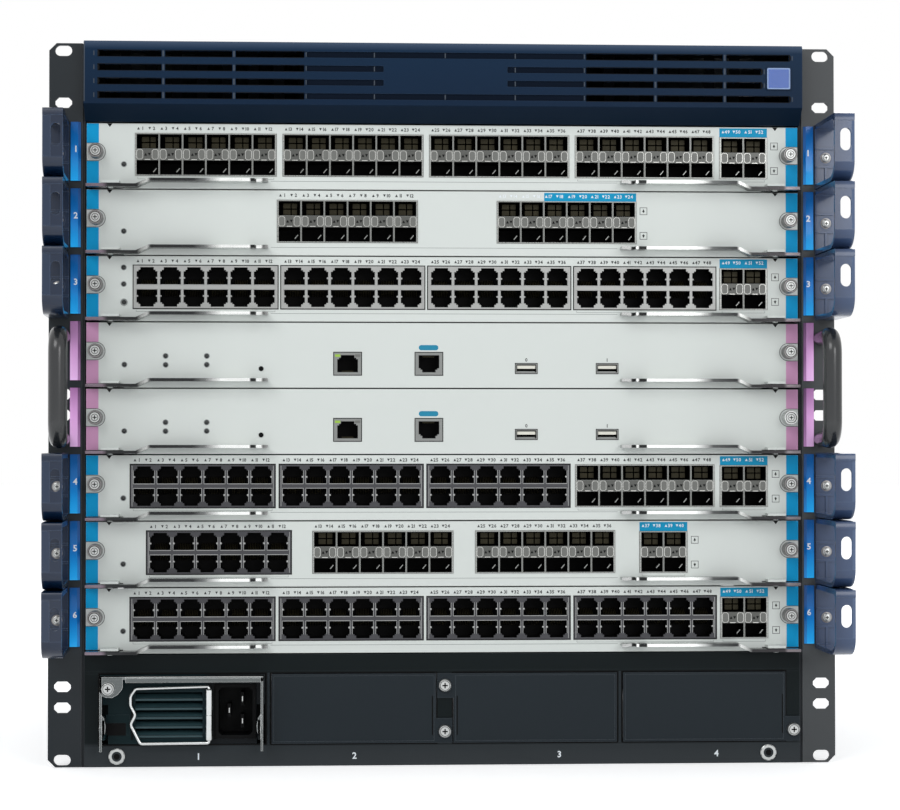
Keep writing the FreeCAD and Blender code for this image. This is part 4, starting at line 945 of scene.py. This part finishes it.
# %% [markdown]
# Each card's panel carries a colour band at both ends, broken by the pale plate of its captive screw, and
# thin print: a seam line between the lever tips, and a number with a mark over every port. Small black
# triangles near the ends point down and are painted shade in the notches at the top edge. Print is a
# plate a twentieth of a millimetre thick.

# %% Print on the panels
band = (211.1, 218.45)          # X of the colour band
band_span = (2.85, pitch - 0.5)  # its lower edge clears the levers' notch
knob_place = (212.5, 22.6)
plate_radius = 5.2
print_gap = 0.4


def screw_plate(shape, side, base, radius, y, coat):
    """Keyhole plate: round towards the middle, straight towards the panel's end."""
    x, z = knob_place
    inner = arc(x, base + z, radius, 90, 270, 16)
    outline = [(panel_edge - 0.1, base + z + radius)] + inner + [(panel_edge - 0.1, base + z - radius)]
    shape.prism([(side * px, pz) for px, pz in outline], y, 0.0, coat)


def block_underline(shape, base, x, half):
    """A grey line under a port block, with a tick at each end."""
    shape.block(x - half, x + half, -print_height, 0, base + 6.2, base + 6.4, 4)
    for end in (x - half, x + half - 0.2):
        shape.block(end, end + 0.2, -print_height, 0, base + 6.4, base + 7.3, 4)


def panel_print(n):
    base = slot_floor[n]
    colour = "pink" if n in supervisors else "teal"
    shape = Shape()
    for side in (-1, 1):
        x0, x1 = sorted(side * x for x in band)
        for low, high in ((band_span[0], knob_place[1] - plate_radius - print_gap),
                          (knob_place[1] + plate_radius + print_gap, band_span[1])):
            shape.block(x0, x1, -print_height, 0, base + low, base + high, 0)
        screw_plate(shape, side, base, plate_radius + 0.35, -0.08, 1)
        screw_plate(shape, side, base, plate_radius, -0.16, 2)
        # A black triangle at the top edge: painted shade in the notch there.
        notch_shade_top = base + band_span[1]
        notch_shade_x = side * 204.5
        shape.prism([(notch_shade_x - 1.6, notch_shade_top), (notch_shade_x + 1.6, notch_shade_top), (notch_shade_x, notch_shade_top - 2.1)],
                    -print_height, 0, 3)
    if n in line_cards:
        shape.block(-106.5, 106.5, -print_height, 0, base + 5.1, base + 5.35, 4)
    for kind, x in card_blocks.get(n, ()):
        if abs(x) > 110:
            wide = cage_sizes[kind][0] if isinstance(kind, int) else copper_size[0]
            block_underline(shape, base, x, wide / 2 - 1.5)
    coats = [colour, "ink", "plate", "black", "hairline"]
    shape.done(f"card_{n}_print", f"card_{n}", "card_panel", coats)


print("band height over the screw:", round(band_span[1] - knob_place[1] - plate_radius, 2))

# %% [markdown]
# The captive screws are knurled nickel drums with turned rings on their faces. Teeth are every second
# point of the turned outline pushed out a tenth of a millimetre. One screw is brighter than the rest.

# %% Captive screws
knob_body = [(4.3, 0.0), (4.3, -2.6), (4.14, -2.8), (4.14, -3.2), (4.3, -3.4), (4.3, -9.1), (4.0, -9.5),
             (0.3, -9.5)]
knob_seat = -9.4
# Rings in black are painted shade in the grooves between the turned steps.
knob_rings = (              # outer and inner radius, Y of the face, finish
    (4.15, 3.5, -9.9, 0), (3.45, 3.05, -9.55, 1), (3.0, 2.2, -9.8, 2), (2.15, 1.85, -9.55, 1),
    (1.8, 0.1, -9.85, 2))


def knurled_screws(n):
    """Two knurled captive screws with turned rings and a crossed recess."""
    base = slot_floor[n]
    shape = Shape()
    for side in (-1, 1):
        x, z = side * knob_place[0], base + knob_place[1]
        body = 3 if n == 5 and side > 0 else 0
        shape.turned(x, z, knob_body, 48, body, 0.1)
        for outer, inner, face, coat in knob_rings:
            section = [(outer, knob_seat), (outer, face), (inner, face), (inner, knob_seat)]
            hoop(shape, x, z, section, coat or body)
        # The black cross is painted shade in the recess.
        crossed(shape, x, z, 2.6, 0.55, -9.88, knob_seat, 1)
    shape.done(f"card_{n}_screws", f"card_{n}", "card_panel", ["knob", "black", "screw", "bright"])


for n in slots:
    panel_print(n)
    knurled_screws(n)
print("captive screws:", 2 * len(slots))

# %% [markdown]
# Every port has its number and an arrow to its row. Uplinks stand on a blue header and are white there.

# %% Numbers over the ports
number_row = 37.2
number_height = 2.1
mark_size = 1.6
number_y = -2.2 * print_height      # in front of the header
wide_header = (61.3, 118.2)
header_span = (33.9, 39.4)


def port_numbers(n):
    base = slot_floor[n]
    shape = Shape()
    count = 1
    for kind, x in card_blocks[n]:
        columns, step = (kind, cage_step) if isinstance(kind, int) else (6, copper_step)
        header = columns == 2 or (n == 2 and x > 0)
        if header:
            x0, x1 = (x - 14.8, x + 14.8) if columns == 2 else wide_header
            shape.block(x0, x1, -print_height, 0, base + header_span[0], base + header_span[1], 2)
        for column in range(columns):
            cx = x + (column - (columns - 1) / 2) * step
            for dx, up in ((-3.4, True), (3.4, False)):
                row = base + number_row
                stamp_mark(shape, cx + dx - 2.1, row, mark_size, up, number_y, int(header))
                stamp_number(shape, count, cx + dx + 0.5, row, number_height, number_y, int(header))
                count += 1
    shape.done(f"card_{n}_numbers", f"card_{n}", "card_panel", ["ink", "white", "header"])
    return count - 1


print("numbers on each card:", [port_numbers(n) for n in line_cards])

# %% [markdown]
# Status lights are small dark lenses in a ring. Links and modes are marked with framed arrows beside the
# uplinks. The supervisor cards carry five lights, two jacks, a teal field and two bus sockets.

# %% Status lights and arrow marks
lights = {1: [(-195.9, 15.2)], 2: [(-195.9, 14.8)], 3: [(-195.9, 33.1), (-195.9, 23.0)],
          4: [(-195.4, 14.4), (-170.4, 19.7), (-170.4, 14.3), (-145.4, 19.7), (-145.4, 14.4)],
          6: [(-195.9, 14.0)], 7: [(-195.9, 14.4)], 8: [(-195.9, 14.1)]}
lights[5] = lights[4]
arrows = {1: 203.9, 2: 122.7, 3: 204.4, 6: 204.5, 7: 154.2, 8: 204.6}


def status_lights(n):
    base = slot_floor[n]
    shape = Shape()
    for x, z in lights[n]:
        shape.turned(x, base + z, [(1.75, 0.0), (1.75, -0.25), (1.4, -0.3)], 20, 1)
        shape.turned(x, base + z, [(1.3, 0.0), (1.3, -0.5), (0.9, -0.85), (0.3, -1.0)], 20, 0)
    if n in arrows:
        for z, up in ((28.4, True), (13.2, False)):
            x, half, mid = arrows[n], 2.3, base + z
            outline_frame(shape, x - half, x + half, mid - half, mid + half, 0.3, -print_height, 2)
            stamp_mark(shape, x, mid + (0.4 if up else -0.4), 1.7, up, -print_height, 2)
            shape.tile(x, mid, 0.25, 1.0, -print_height, 0, 2)
    if n == 3:
        hoop(shape, -195.7, base + 11.9, [(2.15, 0.0), (2.15, -0.3), (1.7, -0.3), (1.7, 0.0)], 1)
    shape.done(f"card_{n}_lights", f"card_{n}", "card_panel", ["lens", "hairline", "ink"])


for n in slots:
    status_lights(n)
print("status lights:", sum(len(places) for places in lights.values()))

# %% [markdown]
# A moulded strip beside each slot carries the slot's number on the ears. It has a slanted inner facet
# in a darker copy of its colour, painted shade, so it shows two tones of its colour. The supervisors'
# strips are pink and plain.

# %% Label strips on the ears
strip_inner, strip_fold, strip_outer = 222.0, 223.5, 228.2
strip_face = -1.4
strip_section = ((strip_fold, 0), (strip_outer, 0), (strip_outer, -1.2), (strip_outer - 0.3, strip_face),
                 (strip_fold, strip_face))
facet_section = ((strip_inner, 0), (strip_fold, 0), (strip_fold, strip_face), (strip_inner, -0.4))


def label_strips(n):
    base = slot_floor[n]
    low, high = base + 4.8, base + 40.7
    colour = "strip_pink" if n in supervisors else "strip_blue"
    for side, word in both_sides:
        shape = Shape()
        # The inner facet takes the darker copy of the finish: painted shade.
        for section, coat in ((strip_section, 0), (facet_section, 2)):
            shape.plate([(side * x, y) for x, y in section], low, high, coat)
        if n in line_cards:
            order = line_cards.index(n) + 1
            stamp_number(shape, order, side * 224.9, base + 24.2, 3.9, strip_face - print_height, 1)
        shape.done(f"row_{n}_strip_{word}", "chassis", "ear_steel", [colour, "white", colour + "_inner"],
                   rise=(low, high))


for n in slots:
    label_strips(n)
print("label strips:", 2 * len(slots))

# %% [markdown]
# Cable rings are glossy navy mouldings that reach forward from the ears. Each is a D loop: a thick top
# wall with a lip, a flat front flange with a slot for a strap, and a lower wall that curves back to the
# base. The section is an open C, and the flange closes it, so that the slot can go right through. The
# left ones lean in a little at the front.

# %% Cable rings
ring_reach = (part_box("cable_brackets")[0].y - front) / mm
ring_x = (229.0, 241.0)
ring_lift = 1.8
ring_height = pitch - 0.7
ring_wall_back = -2.4
flange_back = 0.5
flange_sheet = 2.4
lip_height = 4.5
strap_slot = (6.6, 13.5)
ring_screw_z = 21.1
ring_screw_x = ear_edge - 5.7
lean_left, lean_right = 2.6, 0.2


def leaning(points, lean):
    """Moves points sideways in step with how far they reach forward."""
    return [(x + lean * y / ring_reach, y, z) for x, y, z in points]


def ring_wall(shape, xs, z0, z1, lean):
    """The C of top wall, base and lower curve."""
    y = ring_reach
    sweep = [math.radians(a) for a in range(0, 91, 10)]
    section = [(0.0, z0)]
    section += [(y + 16.0 - 15.5 * math.sin(t), z0 + 11.0 - 11.0 * math.cos(t)) for t in sweep]
    section += [(y + flange_back + 2.0 + 14.0 * (1 - math.sin(t)), z0 + 11.0 - 8.4 * math.cos(t))
                for t in reversed(sweep)]
    section += [(ring_wall_back, z0 + 3.0), (ring_wall_back, z1 - 3.0), (y + 6.0, z1 - 3.0),
                (y + 4.0, z1 - lip_height), (y, z1 - lip_height), (y, z1 - 1.4), (y + 0.5, z1 - 0.4),
                (y + 1.5, z1), (0.0, z1)]
    shape.loft([leaning([(x, py, pz) for py, pz in section], lean) for x in xs], 0)


def ring_flange(shape, xs, z0, z1, lean, side):
    """The front flange round the strap slot, and its outer half in a lighter finish: painted light."""
    low, high = z0 + 10.6, z1 - lip_height + 0.1
    shift, narrowing = (1.8, 0.4) if side < 0 else (0.7, 0.0)
    middle, centre = (xs[0] + xs[1]) / 2 + shift, (low + high) / 2 + 1.0
    half_w, half_h = strap_slot[0] / 2 - narrowing, strap_slot[1] / 2
    outer = rounded(xs[0], xs[1], low, high, 0.05, 6)
    hole = rounded(middle - half_w, middle + half_w, centre - half_h, centre + half_h, half_w - 0.01, 6)
    face, back = ring_reach + flange_back, ring_reach + flange_back + flange_sheet
    rings = [[(x, y, z) for x, z in loop]
             for loop, y in ((outer, face), (outer, back), (hole, back), (hole, face))]
    shape.loft([leaning(ring, lean) for ring in rings], 0, closed=True)
    # The outer half is a slanted wedge in the lighter finish: painted light.
    edge = middle + side * (half_w + 0.2)
    rim = (xs[1] if side > 0 else xs[0]) - side * 0.1
    wedge = [(edge, face + 0.1), (edge, face - 0.1), (rim, face - 0.45), (rim, face + 0.1)]
    for span in ((low + 0.4, high - 0.5), (high + 0.7, z1 - 1.6)):
        shape.loft([leaning([(x, y, z) for x, y in wedge], lean) for z in span], 1)


def ring_base(shape, side, xs, z0, base):
    """Ribs and the recess round the screw on the base."""
    screw_x, screw_z = side * ring_screw_x, base + ring_screw_z
    for offset in (-5.6, 5.6):
        shape.block(xs[0], xs[1], -3.6, -2.3, screw_z + offset - 0.6, screw_z + offset + 0.6, 0)
    shape.block(screw_x - 0.7, screw_x + 0.7, -3.6, -2.3, z0 + 2.5, screw_z - 6.2, 0)
    shape.turned(screw_x, screw_z, [(4.6, -2.3), (4.6, -2.6), (3.9, -2.6), (3.9, -2.45)], 24, 0)


def cable_ring(n, side, word):
    z0 = slot_floor[n] + ring_lift
    z1 = z0 + ring_height
    xs = sorted((side * ring_x[0], side * ring_x[1]))
    lean = lean_left if side < 0 else lean_right
    shape = Shape()
    ring_wall(shape, xs, z0, z1, lean)
    ring_flange(shape, xs, z0, z1, lean, side)
    ring_base(shape, side, xs, z0, slot_floor[n])
    stands = ("cable_brackets",) if (n, word) == (1, "left") else ()
    shape.done(f"cable_ring_{n}_{word}", "chassis", "bracket_plastic", ["ring", "ring_edge", "deep"],
               stands, bevel=0.35)


for n in line_cards:
    for side, word in both_sides:
        cable_ring(n, side, word)
print("cable rings reach forward", round(-ring_reach, 1), "mm")

# %% [markdown]
# The screws of the cable rings and of the power blanks are bright pan heads with a crossed recess. One
# object carries all fifteen, because they share a node in the CAD part.

# %% Fasteners of the chassis
blank_screws = ((0.0, 21.1), (0.0, 49.1), (214.85, 21.1))
fasteners = Shape()
for n in line_cards:
    for side in (-1, 1):
        x, z = side * ring_screw_x, slot_floor[n] + ring_screw_z
        fasteners.turned(x, z, [(3.3, -2.2), (3.3, -2.8), (2.7, -2.9)], 28, 2)
        cross_screw(fasteners, x, z, 2.6, -2.7, -4.3)
for x, z in blank_screws:
    cross_screw(fasteners, x, z, 4.1, -1.2, -4.8)
fasteners.done("chassis_screws", "chassis", "screw_steel", ["screw", "black", "knob"],
               ("chassis_fasteners",))
print("screws:", 2 * len(line_cards) + len(blank_screws))

# %% [markdown]
# The carry handles are D loops of round bar with wide bends. A rod lofted along a path of straight runs
# and arcs keeps the bar round where the CAD bar has flats. The ends draw in where they meet the ears.

# %% Carry handles
handle_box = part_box("carry_handles")
handle_radius = 5.7
handle_x = handle_box[1].x / mm - handle_radius
handle_low = handle_box[0].z / mm + handle_radius
handle_high = handle_box[1].z / mm - handle_radius
grip_y = (handle_box[0].y - front) / mm + handle_radius
bend = 11.0
foot_y = -8.0
foot_splay, foot_taper = 2.0, 1.0   # how far the ends stand out and draw in at the ears


def handle_path(side):
    """Points of the bar and its radius at each."""
    path = [(0.0, handle_low), (foot_y, handle_low)]
    path += arc(grip_y + bend, handle_low + bend, bend, 270, 180, 10)
    path += arc(grip_y + bend, handle_high - bend, bend, 180, 90, 10)
    path += [(foot_y, handle_high), (0.0, handle_high)]
    reach = [y / grip_y for y, z in path]
    points = [(side * (handle_x + foot_splay * (1 - share)), y, z) for share, (y, z) in zip(reach, path)]
    return points, [handle_radius - 0.05 - foot_taper * (1 - share) for share in reach]


for side, word in both_sides:
    shape = Shape()
    shape.rod(*handle_path(side), 28)
    shape.done(f"carry_handle_{word}", "chassis", "handle_bar", ["handle"],
               ("carry_handles",) if side < 0 else ())
print("handle span:", round(handle_high - handle_low, 1), "mm")

# %% [markdown]
# The bezel's closed grooves look nearly black because their floors lie in shade. Thin dark inlays paint
# that shade, and soft dark edges paint shade along the open slots; small pale ticks are painted
# highlights on the ribs, at the round slot ends and along the bezel's left edge, and the badge field
# stays a plain blue plate.

# %% Trim of the vent bezel
bezel_face = -12.0
bezel_seat = bezel_face + 0.1
bezel_rows = (433.3, 424.85, 416.4, 407.95)
blind_floor = -11.2
slot_half = 1.8
shade_half = 2.15
row_end, short_row_end = 211.0, 193.7   # the badge shortens the two middle rows


def bezel_slot_shade(shape, row, z):
    """Painted shade over and under the open slots of one row, with round outer ends, and highlights painted
    at the ends.
    """
    for side in (-1, 1):
        far = short_row_end if side > 0 and row in (1, 2) else row_end
        for x0, x1 in ((86.0, 127.6), (129.6, 170.3), (172.3, far)):
            a, b = sorted((side * x0, side * x1))
            for low, high in ((z + slot_half, z + shade_half), (z - shade_half, z - slot_half)):
                shape.block(a, b, bezel_face - 0.03, bezel_seat, low, high, 0)
        end = arc(side * far, z, shade_half, 90 * side, -90 * side, 8)
        end = [(far * side + (x - far * side) * 0.6, pz) for x, pz in end]
        shape.prism(end, bezel_face - 0.03, bezel_seat, 0)
        # Painted highlights at the round ends of the slots.
        for x in (side * (far + 2.1), side * 84.9):
            shape.tile(x, z, 0.3, 1.4, bezel_face - 0.05, bezel_seat, 1)


def bezel_trim():
    shape = Shape()
    for row, z in enumerate(bezel_rows):
        outer_rows = row in (0, 3)
        bezel_slot_shade(shape, row, z)
        for x0, x1 in ((-84.4, 84.4),) if outer_rows else ((-84.4, -37.8), (37.8, 84.4)):
            groove = rounded(x0, x1, z - 1.7, z + 1.7, 0.9, 3)
            shape.prism(groove, blind_floor - 0.1, blind_floor + 0.1, 4)
        # Painted highlights on the ribs of the closed grooves.
        for x in (-43.4, -0.2, 42.6) if outer_rows else (-43.4, 42.6):
            shape.tile(x, z, 0.35, 1.5, blind_floor - 0.25, blind_floor, 1)
        # Painted highlights on the ribs between the open slots.
        for x in (-171.3, -128.6, 128.6, 171.3):
            shape.tile(x, z, 0.5, slot_half, bezel_face - 0.05, bezel_seat, 1)
    # A painted highlight along the bezel's left edge.
    shape.block(-219.3, -218.6, bezel_face - 0.05, bezel_seat, 404.0, 440.0, 1)
    shape.prism(rounded(197.4, 211.6, 414.1, 427.1, 0.8, 3), -13.1, -12.9, 2)
    shape.prism(rounded(198.2, 210.8, 414.9, 426.3, 0.5, 3), -13.18, -13.0, 3)
    shape.done("bezel_trim", "chassis", "bezel_plastic", ["deep", "tick", "badge_rim", "badge", "groove"])


bezel_trim()
print("rows of slots:", len(bezel_rows))

# %% [markdown]
# The supervisor cards have no port blocks, so their boards carry the sockets themselves: a network jack,
# a console jack and two serial bus sockets in bright cans. The board behind them is green lacquer with
# its two rear connectors.

# %% Sockets of the supervisors
can_size = (16.6, 13.6)
can_spare = (can_size[1] - mouth_steps[1][1]) / 2
can_places = ((-59.5, True), (-9.7, False))
can_depth = 18.0
bus_places = (50.2, 100.1)


def jack_can(shape, x, base, up):
    """One shielded jack: its can, its mouth and two small windows over it."""
    z0, z1 = base + block_low, base + block_low + can_size[1]
    half = can_size[0] / 2
    z = z0 + can_spare if up else z1 - can_spare
    mouth = (jack_mouth(x, z, up), jack_depth)
    # Near black inside the mouth and in the gap round the can: painted shade.
    shape.pocketed(rect(x - half, x + half, z0, z1), [mouth], port_face, can_depth, 1, 2)
    outline_frame(shape, x - half - 0.5, x + half + 0.5, z0 - 0.5, z1 + 0.5, 0.6, -0.13, 2)
    if up:
        for side, coat in ((-1, 4), (1, 5)):
            shape.tile(x + side * 6.1, z1 - 1.85, 1.6, 0.75, port_face - 0.1, port_face + 0.2, coat)
    low, high = (z - 0.2, z + 1.1) if up else (z - 1.1, z + 0.2)
    shape.block(x - 3.6, x + 3.6, 6.0, 7.0, low, high, 3)


def bus_socket(shape, x, base):
    """One serial bus socket: folded shell, pale tongue and the dark space under it."""
    z = base + 12.3
    outer = rounded(x - 6.6, x + 6.6, z - 3.0, z + 3.0, 0.4, 2)
    inner = rounded(x - 6.1, x + 6.1, z - 2.5, z + 2.5, 0.3, 2)
    # Near black inside the shell and in the gap round it: painted shade.
    shape.pocketed(outer, [(inner, 12.0)], port_face, 14.0, 1, 2)
    outline_frame(shape, x - 7.0, x + 7.0, z - 3.4, z + 3.4, 0.45, -0.13, 2)
    shape.block(x - 5.6, x + 5.6, 0.5, 12.0, z - 0.1, z + 1.8, 6)
    shape.block(x - 5.6, x + 5.6, 1.5, 12.0, z - 2.5, z - 1.6, 1)


print("spare over a jack in its can:", round(can_spare, 2))

# %% [markdown]
# The board is one plate of green lacquer. It is narrower at the front, where it passes the levers, and
# carries its two rear connectors and all the sockets.

# %% Supervisor boards
board_half = 214.0
board_front, board_reach = 1.5, 330.0
board_top = board_lift + 1.8
neck_half, neck_reach = board_half - 22.0, 16.0     # narrower part behind the panel
connector_places = (-109.7, 109.7)


def supervisor_board(n):
    base = slot_floor[n]
    shape = Shape()
    right = [(neck_half, board_front), (neck_half, neck_reach), (board_half, neck_reach),
             (board_half, board_reach)]
    outline = [(-neck_half, board_front)] + right + [(-x, y) for x, y in reversed(right[1:])]
    shape.plate(outline, base + board_lift, base + board_top, 0)
    for x in connector_places:
        shape.block(x - 60.0, x + 60.0, 314.0, 333.0, base + board_top, base + 26.3, 7)
    for x, up in can_places:
        jack_can(shape, x, base, up)
    for x in bus_places:
        bus_socket(shape, x, base)
    coats = ["board", "can", "deep", "brass", "lamp_green", "pipe", "pale", "black"]
    shape.done(f"card_{n}_circuit", f"card_{n}", "board", coats, (f"card_{n}_board",))


def supervisor_print(n):
    """The plain teal field and the numbers of the bus sockets."""
    base = slot_floor[n]
    shape = Shape()
    shape.prism(rounded(-15.9, -3.9, base + 23.4, base + 26.6, 1.55, 5), -print_height, 0.0, 0)
    for number, x in enumerate(bus_places):
        stamp_number(shape, number, x, base + 17.6, 2.2, -print_height, 1)
    shape.done(f"card_{n}_fields", f"card_{n}", "card_panel", ["field", "ink"])


for n in supervisors:
    supervisor_board(n)
    supervisor_print(n)
print("sockets on a supervisor:", len(can_places) + len(bus_places))

# %% [markdown]
# The power section. The supply's handle is zinc sheet: a bar with rolled edges, a tab with its screw,
# and leaf-shaped cams on both legs, which end in thin feet.

# %% Handle of the power supply
bail_y = (-12.5, -5.5)
bail_x = (-209.0, -110.6)
bail_sheet = 1.4
bail_pivot = (-9.0, 24.0)
bail_boss = 4.6
bail_high = 56.0
leaf = ((0.0, 33.6), (1.7, 31.0), (2.6, 26.5), (2.3, 22.5), (0.9, 19.0), (0.0, 18.2))
tab_outline = (     # from the upper left corner of the handle
    (0.0, 0.0), (0.0, -9.0), (1.4, -11.2), (3.6, -12.3), (7.6, -12.5), (11.0, -10.6), (13.4, -7.6),
    (14.0, -6.0), (14.0, 0.0))
bar_section = (     # from the front upper edge of the handle
    (0.35, 0.0), (7.0, 0.0), (7.0, -1.4), (1.6, -1.4), (1.6, -3.5), (0.4, -3.6), (0.0, -3.1), (0.0, -0.5))
thin_section = ((0.2, 0.0), (7.0, 0.0), (7.0, -1.4), (0.2, -1.4))
glint_section = ((-0.02, -0.9), (0.3, 0.04), (2.4, 0.04), (2.4, -0.2))


def bail_leg(shape, x0, x1):
    """One leg, down to its foot, with the boss of its pivot."""
    y, z = bail_pivot
    leg = [(bail_y[0], bail_high), (bail_y[1], bail_high), (bail_y[1], z - 2.0), (y + 1.0, z - 13.2),
           (y - 2.5, z - 13.2), (bail_y[0], z - 2.0)]
    shape.side_prism(leg, x0, x1, 0)
    shape.side_prism(arc(y, z, bail_boss, 0, 345, 23), x0 - 0.01, x1 + 0.01, 0)


def supply_handle():
    shape = Shape()
    left, right = bail_x
    y = bail_y[0]
    for x0 in (left, right - bail_sheet):
        bail_leg(shape, x0, x0 + bail_sheet)
    for x, side in ((left + bail_sheet - 0.2, 1), (right - bail_sheet + 0.2, -1)):
        shape.prism([(x + side * dx, z) for dx, z in leaf], -13.0, -5.0, 0)

    def along(section, x0, x1, coat):
        shape.side_prism([(y + dy, bail_high + dz) for dy, dz in section], x0, x1, coat)

    along(bar_section, left + 15.5, right, 0)
    along(thin_section, left, left + 15.6, 0)
    shape.prism([(left + dx, bail_high + dz) for dx, dz in tab_outline], y, y + bail_sheet, 0)
    cross_screw(shape, left + 5.2, bail_high - 7.0, 4.1, y, y - 3.0, 1, 2)
    along(glint_section, left + 15.6, right - 0.1, 3)
    coats = ["zinc", "screw", "black", "bright"]
    shape.done("supply_handle", "supply_bail", "bail_zinc", coats, ("supply_bail",), bevel=0.25)


supply_handle()
print("handle width:", round(bail_x[1] - bail_x[0], 1), "mm")

# %% [markdown]
# The cord clip is round wire that runs along a row of corners, each rounded by a short curve of five
# points. Both ends turn in a barrel with two bright sleeves on the case.

# %% Cord clip
clip_axis, clip_y = -143.5, -4.2
clip_low, clip_high = 15.0, 49.3
clip_far = -188.0
wire_radius = 0.98
wire_bend = 1.4


def clip_wire():
    """The bent wire of the clip and the barrel that its ends turn in."""
    axis, low, high, far = clip_axis, clip_low, clip_high, clip_far
    step = (high - low) / 6
    corners = [(axis, high - 8.0), (axis, low), (far + 3.0, low - 0.3), (far, low + step),
               (far - 3.0, low + 2 * step), (far, low + 3 * step), (far - 3.0, low + 4 * step),
               (far - 3.0, low + 5 * step), (far, high - 1.2), (axis, high), (axis, high - 7.0)]
    path = []
    for before, at, after in zip(corners, corners[1:], corners[2:]):
        start, stop = ([a + (b - a) * min(wire_bend / math.dist(at, end), 0.45) for a, b in zip(at, end)]
                       for end in (before, after))
        for share in (0.0, 0.25, 0.5, 0.75, 1.0):
            path.append([(1 - share) ** 2 * a + 2 * share * (1 - share) * b + share ** 2 * c
                         for a, b, c in zip(start, at, stop)])
    path = [corners[0]] + path + [corners[-1]]
    shape = Shape()
    shape.rod([(x, clip_y, z) for x, z in path], wire_radius, 12)
    shape.done("clip_wire", "cord_clip", "clip_chrome", ["chrome"], ("cord_clip",))


def clip_barrel():
    """Bright sleeves round the barrel on the case."""
    shape = Shape()
    run = [(clip_axis, clip_y, z) for z in (16.7, 17.2, 31.8, 32.0, 32.2, 47.1, 47.6)]
    shape.rod(run, [1.9, 2.25, 2.25, 2.0, 2.25, 2.25, 1.9], 20)
    shape.done("clip_barrel", "power_supply", "supply_steel", ["chrome"])


clip_wire()
clip_barrel()
print("clip height:", round(clip_high - clip_low, 1), "mm")

# %% [markdown]
# Five slanting louvres fill the supply's grille, each with a dark shade line on its nose. A stepped
# field lies beside them, and three blades end deep in the inlet.

# %% Face of the power supply
supply_left = -209.8
grille = ((-188.4, -147.6), (17.5, 45.5))
louvres = 5
blade_places = ((-123.6, 40.8), (-131.6, 33.8), (-123.6, 27.3))


def supply_face():
    """Louvres, the stepped field beside them and the rims of the face."""
    shape = Shape()
    (x0, x1), (z0, z1) = grille
    step = (z1 - z0) / louvres
    for i in range(louvres):
        z = z0 + (i + 0.25) * step
        tail = z + step * 0.62
        slat = [(-0.5, z - 0.9), (-0.5, z + 0.5), (6.4, tail), (6.4, tail - 0.6)]
        nose = [(-0.56, z + 0.3), (-0.56, z + 0.52), (-0.3, z + 0.6), (-0.3, z + 0.3)]
        for coat, section in enumerate((slat, nose)):
            shape.side_prism(section, x0 + 0.1, x1 - 0.1, coat)
    shape.block(x0 - 17.6, x0 - 3.4, -0.35, 0.0, z0 + 2.0, z1 - 13.5, 2)
    shape.block(x0 - 17.6, x0 - 5.6, -0.7, -0.3, z0 + 2.0, z0 + 9.4, 3)
    shape.block(x0 - 2.4, x0 - 1.5, -0.5, 0.1, z0 - 0.8, z1 + 0.8, 3)
    shape.block(x1 + 6.8, x1 + 7.4, -0.3, 0.1, z0 - 1.0, z1 + 6.0, 3)
    shape.block(supply_left + 1.0, supply_left + 1.6, -0.2, 0.1, 29.0, 54.0, 4)
    shape.done("supply_face", "power_supply", "supply_steel", ["slat", "frame", "supply", "deep", "black"])


def inlet_blades():
    """The bright tips of the three blades, painted highlights on near-black blades in painted shade, deep
    in the inlet, and the rim of painted shade round it.
    """
    shape = Shape()
    for x, z in blade_places:
        shape.tile(x, z, 1.02, 4.02, 4.7, 5.2, 1)
        shape.tile(x, z, 0.3, 1.5, 4.4, 5.2, 0)
    outline_frame(shape, -139.8, -115.4, 17.2, 50.4, 0.7, -0.92, 1)
    shape.done("inlet_trim", "power_supply", "inlet_plastic", ["screw", "deep"])


supply_face()
inlet_blades()
print("louvre pitch:", round((grille[1][1] - grille[1][0]) / louvres, 1), "mm")

# %% [markdown]
# The power bays: plain numbers under each, dark gap lines of painted shade round the bays and posts,
# and bright rings round a bore of painted shade at the two wrist-strap sockets.

# %% Power bays
bay_lefts = (-210.3, -106.0, 5.0, 109.3)
bay_wide = 101.0
bay_heights = (13.6, 56.6)
bay_numbers = (-150.1, -55.2, 70.4, 167.4)
post_places = (-107.65, 107.65)
strap_place = (199.5, 6.7)
strap_ring = [(4.95, 0.0), (4.95, -1.3), (4.5, -1.65), (3.1, -1.65), (2.9, -1.5), (2.1, -1.5), (2.1, 0.0)]


def bay_trim():
    shape = Shape()
    low, high = bay_heights
    for left in bay_lefts:
        # Painted shade in the gaps round the bays.
        outline_frame(shape, left - 0.6, left + bay_wide + 0.6, low - 0.5, high + 0.6, 0.7, -0.1, 0)
    for number, x in enumerate(bay_numbers):
        stamp_number(shape, number + 1, x, 6.3, 4.0, -print_height, 1)
    for x in post_places:
        shape.block(x - 0.55, x + 0.55, -0.25, 0.1, low, high + 0.4, 3)
    for side in (-1, 1):
        x, z = side * strap_place[0], strap_place[1]
        hoop(shape, x, z, strap_ring, 2)
        # The black bore: painted shade.
        shape.turned(x, z, [(2.5, -0.4), (2.5, -1.52)], 20, 0)
    shape.done("bay_trim", "chassis", "frame_steel", ["deep", "white", "screw", "blank"])


def blank_trim():
    """Fold lines, and dark lines of painted shade at the slotted tabs at the screws of the blanks."""
    shape = Shape()
    low, high = bay_heights
    for left in bay_lefts[1:]:
        outline_frame(shape, left + 1.4, left + bay_wide - 1.4, low + 1.4, high - 1.4, 0.35, -1.62, 0)
    for x in (-7.6, 7.6, 208.2):
        # Painted shade in the slots at the tabs.
        shape.block(x - 0.35, x + 0.35, -1.63, -1.4, low + 5.0, high - 14.0, 1)
    shape.done("blank_trim", "chassis", "frame_steel", ["blank", "deep"])


bay_trim()
blank_trim()
print("bays:", len(bay_lefts), "pieces by slot:", piece_count)

# %% [markdown]
